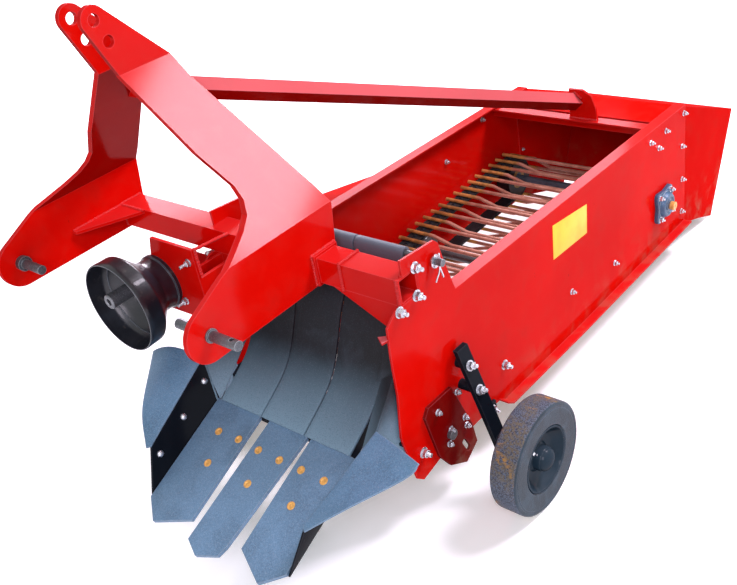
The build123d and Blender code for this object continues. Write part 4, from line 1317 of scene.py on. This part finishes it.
@dataclass
class RodWeb(SubAssembly):
    """Rods alternately straight and cranked, on two belts with riveted clips."""

    pitch: float = 39.5
    rod: float = 5.5
    belt: float = 8.0
    # clearance between a rod and its belt
    seat: float = 0.3
    # a cranked rod's drop, and the lengths of its level end and of its slope
    crank: float = 19.0
    level: float = 92.0
    slope: float = 62.0
    # from the web's end to its belt, and half the belt's width
    belt_edge: float = 12.0
    belt_half: float = 22.5
    strap: tuple = ((-17, -6), (17, -6), (17, 6), (-17, 6))
    strap_t: float = 1.6
    rivet_y: float = 12.5
    # roller node, radius under the belt
    rollers: tuple = (("front_roller", 36.0), ("support_roller", 42.0), ("drive_shaft", 58.0))
    circles: list = field(default_factory=list)

    def measure(self) -> None:
        """Reads the rollers' places, as Y, Z and radius in metres."""
        for node, radius in self.rollers:
            low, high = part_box(node)
            self.circles.append(((low.y + high.y) / 2, (low.z + high.z) / 2, radius * MM))

    def runs(self) -> list:
        """Straight runs of the belt's inner face: start, end and outward direction.

        Returns:
            Start, end and outward direction of each run.
        """
        found = []
        for a, b in ((0, 1), (1, 2), (2, 0)):
            (y0, z0, r0), (y1, z1, r1) = self.circles[a], self.circles[b]
            span = math.hypot(y1 - y0, z1 - z0)
            taper = math.atan2(r1 - r0, math.sqrt(span**2 - (r1 - r0)**2))
            lean = math.atan2(z1 - z0, y1 - y0) + math.pi / 2 + taper
            n = Vector((0.0, math.cos(lean), math.sin(lean)))
            found.append((Vector((0, y0, z0)) + n * r0, Vector((0, y1, z1)) + n * r1, n))
        return found

    def stations(self) -> list[tuple[Vector, Vector]]:
        """Place on the belt's inner face, and outward direction, of each rod.

        Returns:
            Place and direction of each rod, in metres.
        """
        runs = self.runs()
        stretches = []
        for index, (start, end, normal) in enumerate(runs):
            y, z, r = self.circles[(index + 1) % 3]
            first = math.atan2(normal.z, normal.y)
            after = runs[(index + 1) % 3][2]
            turn = (first - math.atan2(after.z, after.y)) % (2 * math.pi)
            stretches.append(((end - start).length, start, end, normal, None))
            stretches.append((turn * r, (y, z, r), first, turn, "arc"))
        total = sum(s[0] for s in stretches)
        count = round(total / (self.pitch * MM))
        places = []
        for i in range(count):
            distance = total * i / count
            for length, a, b, c, kind in stretches:
                if distance <= length:
                    break
                distance -= length
            if kind is None:
                places.append((a.lerp(b, distance / length), c))
            else:
                angle = b - distance / a[2]
                out = Vector((0.0, math.cos(angle), math.sin(angle)))
                places.append((Vector((0.0, a[0], a[1])) + out * a[2], out))
        return places

    def build(self) -> None:
        """Makes the rods and their clips."""
        self.measure()
        low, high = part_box("rod_web")
        middle, half = (low.x + high.x) / 2, (high.x - low.x) / 2
        inner = half - self.level * MM
        bend = inner - self.slope * MM
        drop = self.crank * MM
        offset = half - (self.belt_edge + self.belt_half) * MM
        lines = {"straight": ((-half, 0), (-inner, 0), (inner, 0), (half, 0)),
                 "cranked": ((-half, 0), (-inner, 0), (-bend, -drop), (bend, -drop), (inner, 0), (half, 0))}
        places: dict[str, list[Matrix]] = {"straight": [], "cranked": [], "clip": []}
        for index, (spot, out) in enumerate(self.stations()):
            upright = Matrix.Rotation(math.atan2(-out.y, out.z), 4, "X")
            axis = spot + out * (self.belt + self.rod + self.seat) * MM + Vector((middle, 0, 0))
            places["cranked" if index % 2 else "straight"].append(Matrix.Translation(axis) @ upright)
            for x in (middle + offset, middle - offset):
                top = spot + out * self.belt * MM + Vector((x, 0, 0))
                places["clip"].append(Matrix.Translation(top) @ upright)
        rods = []
        for kind, line in lines.items():
            rod = wire(f"{kind}_rod", [Vector((x, 0, z)) for x, z in line], self.rod, 3)
            rods.append(copies(rod, places[kind], kind))
        self.own(merged(rods, "web_rods"), "rod_steel", nodes=("rod_web",))
        self.own(copies(self.clip(), places["clip"], "web_clips"), "shaft_steel", "black_paint")

    def clip(self) -> bpy.types.Object:
        """A stamped strap over a rod with a rivet each side, its seat at the origin.

        Returns:
            The clip.
        """
        strap = plate("strap", self.strap, self.strap_t, 0.4)
        settle(strap, Matrix.Rotation(math.radians(90), 4, "Z"))
        heads = []
        for y in (-self.rivet_y, self.rivet_y):
            head = turned("head", ((4.2, 1.5), (4.2, 2.4), (3.0, 3.6), (0.3, 4.0)), 8)
            heads.append(settle(head, Matrix.Translation((0, y * MM, 0))))
        return merged((strap, *heads), "clip")


@dataclass
class Apron(SubAssembly):
    """Three rubber strips that hang from the cross rod and lie on the blades."""

    width: float = 131.0
    gap: float = 4.0
    thick: float = 6.0
    # y, z of the strip's line below its eye
    line: tuple = ((74.7, 625.0), (68.0, 575.0), (8.0, 520.0), (-50.0, 385.0), (-95.0, 335.0),
                   (-187.0, 281.0))
    rod_y: float = 86.0
    rod_z: float = 625.0
    eye: float = 11.3
    columns: int = 10
    # steps round the rod, and how far past them a strip begins to hang free
    wrap: int = 14
    held: int = 3
    # least and most curl of an edge, and most sway
    curl: tuple = (1.0, 2.6)
    sway: float = 1.5

    def route(self) -> list[Vector]:
        """Points of the strip's middle line, round the rod and down, in drawing millimetres.

        Returns:
            The points, from the eye to the foot.
        """
        turns = [math.radians(-70 + 250 * i / self.wrap) for i in range(self.wrap + 1)]
        rod = Vector((0, self.rod_y, self.rod_z))
        wrap = [rod + Vector((0, math.cos(a), math.sin(a))) * self.eye for a in turns]
        bends = [Vector((0, y, z)) for y, z in self.line]
        run = [bends[0]]
        for before, here, after in zip(bends, bends[1:], bends[2:]):
            start, end = here.lerp(before, 0.46), here.lerp(after, 0.46)
            for i in range(9):
                t = i / 8
                run.append(start.lerp(here, t).lerp(here.lerp(end, t), t))
        run.append(bends[-1])
        return wrap + run[1:]

    def strip(self, index: int) -> tuple[bpy.types.Object, float]:
        """One strip and the length of its line in metres.

        Args:
            index: 0 for the right strip, 1 for the middle one and 2 for the left one.

        Returns:
            The strip and its length.
        """
        route = self.route()
        steps = len(route) - 1
        rng = random.Random(31 + index)
        curl = [rng.uniform(*self.curl) for _ in range(2)]
        phase = rng.uniform(0, 6)
        middle = self.drawing.share_middle + (index - 1) * (self.width + self.gap)

        def spot(u: float, share: float) -> Vector:
            """Point on the strip's line, curled at its edges and swayed where it hangs free.

            Args:
                u: Share of the way across.
                share: Share of the way along.

            Returns:
                The point, in metres.
            """
            t = round(share * steps)
            way = (route[min(t + 1, steps)] - route[max(t - 1, 0)]).normalized()
            out = Vector((0, -way.z, way.y)) if t > self.wrap + 1 else Vector((0, 0, 0))
            free = min(1.0, max(0.0, (t - self.wrap - self.held) / 10)) * min(1.0, (steps - t) / 5)
            edge = curl[0] * (1 - u) ** 6 + curl[1] * u**6
            sway = self.sway * math.sin(phase + t * 0.3) * math.sin(math.pi * u)
            point = route[t] + out * free * (edge * 0.8 + sway - 1.0)
            return self.drawing.at(middle + (u - 0.5) * self.width, point.y, point.z)

        length = sum((b - a).length for a, b in zip(route, route[1:])) * MM
        return sheet("strip", (self.columns, steps), spot, self.thick, 0.9, 40.0), length

    def build(self) -> None:
        """Makes the three strips."""
        for index, word in enumerate(("right", "middle", "left")):
            strip, length = self.strip(index)
            self.own(strip, "apron_rubber", nodes=(f"apron_strip_{word}",), name=f"apron_{word}")
            LOG.info("apron %s is %.3f m long", word, length)


@dataclass
class Wings(SubAssembly):
    """Rolled mouldboards that flare from the side plates."""

    half: float = 216.5
    thick: float = 4.0
    # how far along the side plate's top edge; then the outer edge as out, y, z
    sections: tuple = ((0.0, 32.0, -386.0, 262.0), (0.25, 98.0, -329.0, 305.0),
                       (0.65, 177.0, -227.0, 341.0), (1.0, 190.0, -200.0, 361.0))
    top_front: tuple = (23.0, -378.0, 264.0)
    top_rear: tuple = (53.0, -163.0, 357.0)
    crowns: dict = field(default_factory=lambda: {"left": 2.0, "right": 24.0})
    rows: int = 24
    columns: int = 14

    def outer(self, t: float) -> Vector:
        """Outer edge at a share of the way back, rounded through the sections.

        Args:
            t: Share of the way back.

        Returns:
            The point, out from the foot of the side plate, in millimetres.
        """
        knots = [Vector(s[1:]) for s in self.sections]
        shares = [s[0] for s in self.sections]
        index = max(i for i in range(3) if shares[i] <= t or i == 0)
        u = (t - shares[index]) / (shares[index + 1] - shares[index])
        p0 = knots[index - 1] if index else knots[0] * 2 - knots[1]
        p1, p2 = knots[index], knots[index + 1]
        p3 = knots[index + 2] if index < 2 else p2 * 2 - p1
        return 0.5 * (2 * p1 + (p2 - p0) * u + (2 * p0 - 5 * p1 + 4 * p2 - p3) * u**2
                      + (3 * p1 - p0 - 3 * p2 + p3) * u**3)

    def spot(self, side: Side, u: float, t: float) -> Vector:
        """Point of a wing, in metres.

        Args:
            side: Which wing.
            u: Share of the way out from the side plate.
            t: Share of the way back.

        Returns:
            The point, on the wing's middle surface.
        """
        point = Vector(self.top_front).lerp(Vector(self.top_rear), t).lerp(self.outer(t), u)
        rise = self.crowns[side.word] * t * (1 - (2 * u - 1) ** 2)
        x = self.drawing.share_middle + side.value * (self.half + point.x)
        return self.drawing.at(x, point.y, point.z + self.thick / 2 + rise)

    def build(self) -> None:
        """Makes both wings."""
        for side in Side:
            cells = (self.columns, self.rows)
            wing = sheet(f"mouldboard_{side.word}", cells, partial(self.spot, side), self.thick, 0.8)
            self.own(wing, "share_steel", "wing_steel", nodes=(f"wing_{side.word}",))


@dataclass
class Wheels(SubAssembly):
    """Depth wheels: solid tyre, dished wheel and domed hub cap."""

    radius: float = 133.0
    seat: float = 80.0
    half: float = 32.5
    hub: float = 29.0
    cap: float = 12.0
    # the hub's screw: radius and height of its steps, its place and its turn about the hub
    screw: tuple = ((5.0, 20.0), (5.0, 26.0), (4.0, 27.0), (2.2, 31.0), (2.2, 34.0), (0.4, 35.0))
    screw_at: Point = (0.0, 34.0, -12.0)
    screw_turn: float = 40.0

    def tyre(self) -> bpy.types.Object:
        """The tyre about Z, its outer side up.

        Returns:
            The tyre.
        """
        r, w = self.radius, self.half
        profile = [(self.seat, -w + 3), (self.seat, w - 3), (self.seat + 2, w - 1), (r - 14, w),
                   (r - 13, w - 1.2), (r - 11, w - 1.2), (r - 10, w - 0.4)]
        profile += arc(r - 7, w - 7, 7, 80, 0)
        profile += arc(r - 7, -w + 7, 7, 0, -80)
        profile += [(r - 12, -w), (self.seat + 2, -w + 1), (self.seat, -w + 3)]
        return turned("tyre", profile, 96, ring=True)

    def wheel(self) -> bpy.types.Object:
        """The dished wheel and hub about Z, its outer side up.

        Returns:
            The wheel.
        """
        w, hub, seat = self.half, self.hub, self.seat
        profile = [(hub - 2, -w), (hub, -w + 2), (hub, -14), (hub + 6, -10), (52, -9), (66, -20),
                   (seat - 3, -w + 3), (seat, -w + 4), (seat, w - 4), (seat - 2, w - 1), (seat - 6, w - 1.5),
                   (67, 20), (56, 11), (50, 9), (hub + 7, 8), (hub + 1, 12), (hub, 16), (hub, w - 6),
                   (hub - 1, w - 4)]
        dome = arc(0.4, w - 7, 1, 0, 90, 6)
        profile += [((hub - 2) * x + 0.3, w - 4 + (self.cap + 4) * (z - w + 7)) for x, z in
                    ((x - 0.4, z) for x, z in dome)]
        return turned("wheel", profile, 64)

    def build(self) -> None:
        """Makes both wheels."""
        for side in Side:
            low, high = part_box(f"tyre_{side.word}")
            place = aimed((low + high) / 2, Vector((side.value, 0, 0)))
            word, body = side.word, f"wheel_{side.word}"
            self.own(settle(self.tyre(), place), "tyre_rubber", body=body, nodes=(f"tyre_{word}",),
                     name=f"tyre_ring_{word}")
            self.own(settle(self.wheel(), place), "rim_paint", body=body, nodes=(f"wheel_rim_{word}",),
                     name=f"dished_wheel_{word}")
            nipple = turned("nipple", self.screw, 10)
            turn = Matrix.Rotation(math.radians(self.screw_turn), 4, "Z")
            settle(nipple, place @ turn @ Matrix.Translation(Vector(self.screw_at) * MM))
            self.own(nipple, "rim_paint", "zinc", body=body, name=f"hub_screw_{word}")


@dataclass
class Drive(SubAssembly):
    """Guard, bored input shaft and the rear bearings."""

    shaft_x: float = -75.0
    shaft_z: float = 565.0
    guard_drop: float = 26.0
    plate_y: float = -138.0
    # how far behind the plate's face the input shaft begins, its length and its radius
    shaft_foot: float = 7.7
    shaft_length: float = 155.5
    shaft_radius: float = 17.5
    # radius and height of the guard's outside from its seat, then of its inside back to it
    guard_outer: tuple = ((69, 0), (69, 9), (66, 11), (65, 24), (65.5, 34), (68, 44), (73, 50),
                          (90, 68), (102, 79), (108, 85), (110.5, 88), (111.5, 92), (111.5, 116),
                          (112, 118), (112, 130))
    guard_inner: tuple = ((111, 132), (109, 132), (108.5, 118), (107.5, 114), (107.5, 94), (105, 88),
                          (99, 81), (97, 81.5), (95, 77), (87, 69), (70, 52), (65, 45), (62.5, 34),
                          (62, 24), (63, 11), (66, 9), (66, 0), (69, 0))
    bearing_half: float = 47.5
    corner_radius: float = 13.0
    boss: tuple = ((40, 6), (38, 14), (35, 22), (32.5, 25), (29, 26), (26, 25.5), (25, 23), (17, 23),
                   (17, 26), (12.5, 26), (12, 24), (0.5, 24))
    nipple: tuple = ((3.4, 0), (3.4, 5), (2.0, 6), (2.2, 9), (1.5, 11), (0.3, 11.5))
    nipple_at: Point = (26.0, 22.0, 15.0)
    flange_t: float = 12.0
    nut_at: float = 34.0
    shaft_end: tuple = ((12.5, 20.0), (12.5, 41.0), (11.0, 42.5), (4.0, 42.5), (3.0, 39.0), (0.3, 38.0))

    def guard(self) -> bpy.types.Object:
        """The bell-shaped guard about Z, its mouth up and its seat at the origin."""
        return turned("guard", self.guard_outer + self.guard_inner, 72, ring=True)

    def input_shaft(self) -> bpy.types.Object:
        """Input shaft about Z, its tip up, bored and chamfered at the end.

        Returns:
            The shaft.
        """
        r, length = self.shaft_radius, self.shaft_length
        groove = length * 0.45
        profile = ((r, 0), (r, groove), (r - 0.8, groove + 1), (r - 0.8, groove + 4), (r, groove + 5),
                   (r, length - 2), (r - 2, length), (9.5, length), (8.5, length - 1.5), (8.5, length - 20),
                   (0.5, length - 22))
        return turned("input_shaft", profile, 48)

    def bearing(self) -> bpy.types.Object:
        """Four-hole flanged bearing about Z, its seat at the origin.

        Returns:
            The bearing.
        """
        inset = self.bearing_half - self.corner_radius
        side = [*arc(inset, inset, self.corner_radius, 0, 90, 6), (0.0, self.bearing_half - 5)]
        outline = []
        for turn in range(4):
            c, s = math.cos(turn * math.pi / 2), math.sin(turn * math.pi / 2)
            outline += [(x * c - y * s, x * s + y * c) for x, y in side]
        flange = plate("flange", outline, self.flange_t, 1.6)
        boss = turned("boss", self.boss, 40)
        nipple = turned("nipple", self.nipple, 8)
        settle(nipple, aimed(Vector(self.nipple_at) * MM, Vector((1, 1, 0.9))))
        return merged((flange, boss, nipple), "bearing")

    def build(self) -> None:
        """Makes the drive's pieces."""
        forward = Vector((0, -1, 0))
        seat = self.drawing.at(self.shaft_x, self.plate_y, self.shaft_z - self.guard_drop)
        self.own(settle(self.guard(), aimed(seat, forward)), "guard_plastic", nodes=("pto_guard",),
                 name="bell_guard")
        foot = self.drawing.at(self.shaft_x, self.plate_y + self.shaft_foot, self.shaft_z)
        self.own(settle(self.input_shaft(), aimed(foot, forward)), "shaft_steel", body="drive_input",
                 nodes=("pto_shaft",), name="bored_shaft")
        for side in Side:
            self.build_bearing(side)

    def build_bearing(self, side: Side) -> None:
        """Makes one rear bearing, its nuts and the end of the drive shaft in it.

        Args:
            side: Which bearing.
        """
        word, at = side.word, self.nut_at * MM
        place = aimed(box_end(f"bearing_{word}", Side(-side.value)), Vector((side.value, 0, 0)))
        self.own(settle(self.bearing(), place), "bearing_iron", nodes=(f"bearing_{word}",),
                 name=f"flanged_bearing_{word}")
        spots = [place @ Matrix.Translation((x, y, self.flange_t * MM)) for x in (-at, at) for y in (-at, at)]
        self.nuts(7.2, 5.0, spots, f"bearing_nuts_{word}")
        end = settle(turned("shaft_end", self.shaft_end, 24), place)
        self.own(end, "shaft_steel", "yellow_zinc", name=f"drive_shaft_end_{word}")


@dataclass
class Closures(SubAssembly):
    """Sheets that close the body: the hood's rear wall, gores, side curtains and nose tabs."""

    inner: float = 276.0
    # how far the wall, a gore and a curtain stay inside the panels' inner faces
    wall_clear: float = 4.5
    gore_clear: float = 2.5
    curtain_clear: float = 3.0
    # y, z of the wall's profile, top first, as a bent sheet with a rolled foot
    wall: tuple = ((1655, 325), (1533, 62), (1521, 52), (1510, 56), (1511, 59), (1520, 55.5), (1530, 64),
                   (1651, 323))
    # out from the share's middle, y, z of the share plate's rear edge, foot first
    plate_edge: tuple = ((217.0, -189.0, 269.0), (266.0, -163.0, 352.0))
    # y, z of the panel's front edge, foot first
    nose: tuple = ((-58.0, 196.0), (-74.0, 447.0))
    apron_half: float = 190.0
    # y, z of the curtain's line, foot first
    curtain_line: tuple = ((-58.0, 388.0), (-16.0, 470.0), (22.0, 540.0))
    # out from the trough's middle, y
    tab: tuple = ((252.0, -82.0), (276.0, -98.0), (281.0, -76.0), (276.0, -64.0))
    tab_z: float = 528.0
    tab_t: float = 5.0
    thick: float = 3.0

    def gore(self, side: Side) -> bpy.types.Object:
        """Twisted sheet from the share plate's rear edge to the panel's front edge.

        Args:
            side: Which side of the digger.

        Returns:
            The gore.
        """
        middle = self.drawing.share_middle
        foot, head = (Vector((middle + side.value * x, y, z)) for x, y, z in self.plate_edge)
        across = self.drawing.trough_middle + side.value * (self.inner - self.gore_clear)
        low, high = (Vector((across, y, z)) for y, z in self.nose)

        def spot(u: float, t: float) -> Vector:
            """Point a share u of the way to the panel and t of the way up."""
            return self.drawing.at(*foot.lerp(head, t).lerp(low.lerp(high, t), u))

        return sheet(f"share_gore_{side.word}", (10, 10), spot, self.thick, 0.6)

    def curtain(self, side: Side) -> bpy.types.Object:
        """Narrow rubber curtain behind the apron's outer edge, up to the panel.

        Args:
            side: Which side of the digger.

        Returns:
            The curtain.
        """
        inner = self.drawing.share_middle + side.value * self.apron_half
        outer = self.drawing.trough_middle + side.value * (self.inner - self.curtain_clear)
        low, middle, high = (Vector((0, y, z)) for y, z in self.curtain_line)

        def spot(u: float, t: float) -> Vector:
            """Point a share u of the way to the panel and t of the way up."""
            point = low.lerp(middle, t).lerp(middle.lerp(high, t), t)
            return self.drawing.at(inner + (outer - inner) * u, point.y, point.z)

        return sheet(f"side_curtain_{side.word}", (6, 12), spot, self.thick, 0.6)

    def nose_tab(self, side: Side) -> bpy.types.Object:
        """Small level tab on the panel's front edge.

        Args:
            side: Which panel.

        Returns:
            The tab.
        """
        middle = self.drawing.trough_middle
        corners = [(middle + side.value * x, y) for x, y in self.tab[::side.value]]
        height = Matrix.Translation(self.drawing.at(0, 0, self.tab_z))
        return settle(plate(f"nose_tab_{side.word}", corners, self.tab_t, 0.8), height)

    def build(self) -> None:
        """Makes the wall, the gores, the curtains and the panels' nose tabs."""
        half = self.inner - self.wall_clear
        wall = on_side(plate("hood_rear_wall", self.wall, half * 2, 0.3), self.drawing,
                       self.drawing.trough_middle - half)
        # the wall takes hood_red, the body red painted a shade darker
        self.own(wall, "red_paint", "hood_red")
        for side in Side:
            self.own(self.gore(side), "apron_rubber")
            self.own(self.curtain(side), "apron_rubber")
            # nose tabs take tie_red for its pink painted highlight on their top
            self.own(self.nose_tab(side), "red_paint", "tie_red")


@dataclass
class Sign(SubAssembly):
    """Blank yellow plate on the left panel."""

    corners: tuple = ((543, 471), (709, 449), (703, 369), (537, 379))

    def build(self) -> None:
        """Makes the plate."""
        sign = on_side(plate("blank_sign", self.corners, 0.8, 0.25), self.drawing, self.drawing.panel_x)
        self.own(sign, "red_paint", "foil")


# ---------------------------------------------------------------- studio
def seen_directly(tree: bpy.types.NodeTree) -> bpy.types.NodeSocket:
    """Mask that is 1 for camera, glossy and transmission rays, and 0 for the light on the object.

    Args:
        tree: Nodes of the material or of the world.

    Returns:
        The mask's socket.
    """
    path = tree.nodes.new("ShaderNodeLightPath")
    mask = path.outputs["Is Camera Ray"]
    for ray in ("Is Glossy Ray", "Is Transmission Ray"):
        either = tree.nodes.new("ShaderNodeMath")
        either.operation = "MAXIMUM"
        tree.links.new(mask, either.inputs[0])
        tree.links.new(path.outputs[ray], either.inputs[1])
        mask = either.outputs[0]
    return mask


def hang(name: str, data: bpy.types.ID, place: Matrix) -> bpy.types.Object:
    """A lamp or the camera, in its place in the scene.

    Args:
        name: Name of the object.
        data: Its light or camera data.
        place: Its matrix.

    Returns:
        The object.
    """
    piece = bpy.data.objects.new(name, data)
    bpy.context.collection.objects.link(piece)
    piece.matrix_world = place
    return piece


@dataclass
class Studio:
    """Floor, lights and camera."""

    drawing: Drawing
    camera_at: Point = (1641.4, -1174.8, 1574.9)
    azimuth: float = 45.3
    elevation: float = 31.1
    roll: float = -10.95
    focal: float = 45.82
    tint: Colour = (0.96, 0.86, 1.0)
    # where the panels point, in metres, and the colour and strength of the sky
    aim: Point = (0.0, 0.0, 0.4)
    sky: Colour = (0.93, 1.0, 0.97)
    sky_strength: float = 0.34
    # name, place, size, power, in metres and watts
    panels: tuple = (
        ("left_sky", (2.6, 2.8, 5.2), (1.6, 1.6), 400.0),
        ("right_sky", (-4.85, 3.0, 2.6), (1.8, 1.2), 240.0),
        ("rear_sky", (-3.2, 4.3, 3.0), (3.0, 1.4), 240.0),
        ("fill", (3.8, -4.6, 4.2), (3.5, 3.5), 290.0),
    )

    def aim_camera(self) -> None:
        """Sets the camera at its viewing angle."""
        az, el, roll = (math.radians(v) for v in (self.azimuth, self.elevation, self.roll))
        back = Vector((math.sin(az) * math.cos(el), -math.cos(az) * math.cos(el), math.sin(el)))
        right = Vector((math.cos(az), math.sin(az), 0.0))
        up = back.cross(right)
        tilted = right * math.cos(roll) + up * math.sin(roll)
        data = bpy.data.cameras.new("camera")
        data.lens = self.focal
        data.sensor_width = 36.0
        turn = Matrix((tilted, back.cross(tilted), back)).transposed().to_4x4()
        place = Matrix.Translation(self.drawing.at(*self.camera_at)) @ turn
        bpy.context.scene.camera = hang("camera", data, place)

    def light(self) -> None:
        """Hangs the light panels and sets the world."""
        for name, place, size, power in self.panels:
            data = bpy.data.lights.new(name, "AREA")
            data.shape = "RECTANGLE"
            data.size, data.size_y = size
            data.energy = power
            data.color = self.tint
            spot = Vector(place)
            way = (Vector(self.aim) - spot).to_track_quat("-Z", "Y").to_matrix().to_4x4()
            hang(name, data, Matrix.Translation(spot) @ way)
        world = bpy.data.worlds.new("studio")
        bpy.context.scene.world = world
        world.use_nodes = True
        tree = world.node_tree
        sky, output = tree.nodes["Background"], tree.nodes["World Output"]
        sky.inputs["Color"].default_value = (*self.sky, 1.0)
        sky.inputs["Strength"].default_value = self.sky_strength
        backdrop = tree.nodes.new("ShaderNodeBackground")
        backdrop.inputs["Color"].default_value = (1.0, 1.0, 1.0, 1.0)
        mixed = tree.nodes.new("ShaderNodeMixShader")
        for source, target in ((seen_directly(tree), mixed.inputs[0]), (sky.outputs[0], mixed.inputs[1]),
                               (backdrop.outputs[0], mixed.inputs[2]), (mixed.outputs[0], output.inputs[0])):
            tree.links.new(source, target)

    def floor(self) -> None:
        """Lays the floor."""
        deselect()
        bpy.ops.mesh.primitive_plane_add(size=40.0, location=(0, 0, -0.0005))
        floor = settle(bpy.context.object)
        floor.name = "floor"
        s = Shader("studio_floor")
        tone = s.mix(s.noise(1.5, 3.0).step(0.3, 0.7), (0.96, 0.96, 0.96), (0.94, 0.94, 0.94))
        glow = s.mix(s.axis(0).hypot(s.axis(1)).step(2.5, 9.0), (0.20, 0.22, 0.205), (0.78, 0.82, 0.80))
        glow = s.mix(seen_directly(s.tree), (0.0, 0.0, 0.0), glow)
        floor.data.materials.append(s.finish(tone, 0.9, None, 0.0, Specular_IOR_Level=0.1,
                                             Emission_Color=glow, Emission_Strength=1.0))


def main() -> None:
    """Builds the whole scene in order."""
    logging.basicConfig(level=logging.INFO, format="%(name)s: %(message)s")
    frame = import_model()
    drawing = Drawing()
    studio = Studio(drawing)
    studio.aim_camera()
    studio.light()
    studio.floor()
    finishes = Finishes()
    finishes.dress_nodes(frame["nodes"], frame["record"])
    for kind in (Fastenings, Welds, RodWeb, Apron, Wings, Closures, Wheels, Drive, Sign):
        LOG.info("%s", kind.__doc__)
        kind(drawing, finishes).build()
    view = bpy.context.scene.view_settings
    view.view_transform = "Standard"
    deselect()
    bpy.context.view_layer.update()


if __name__ == "__main__":
    main()
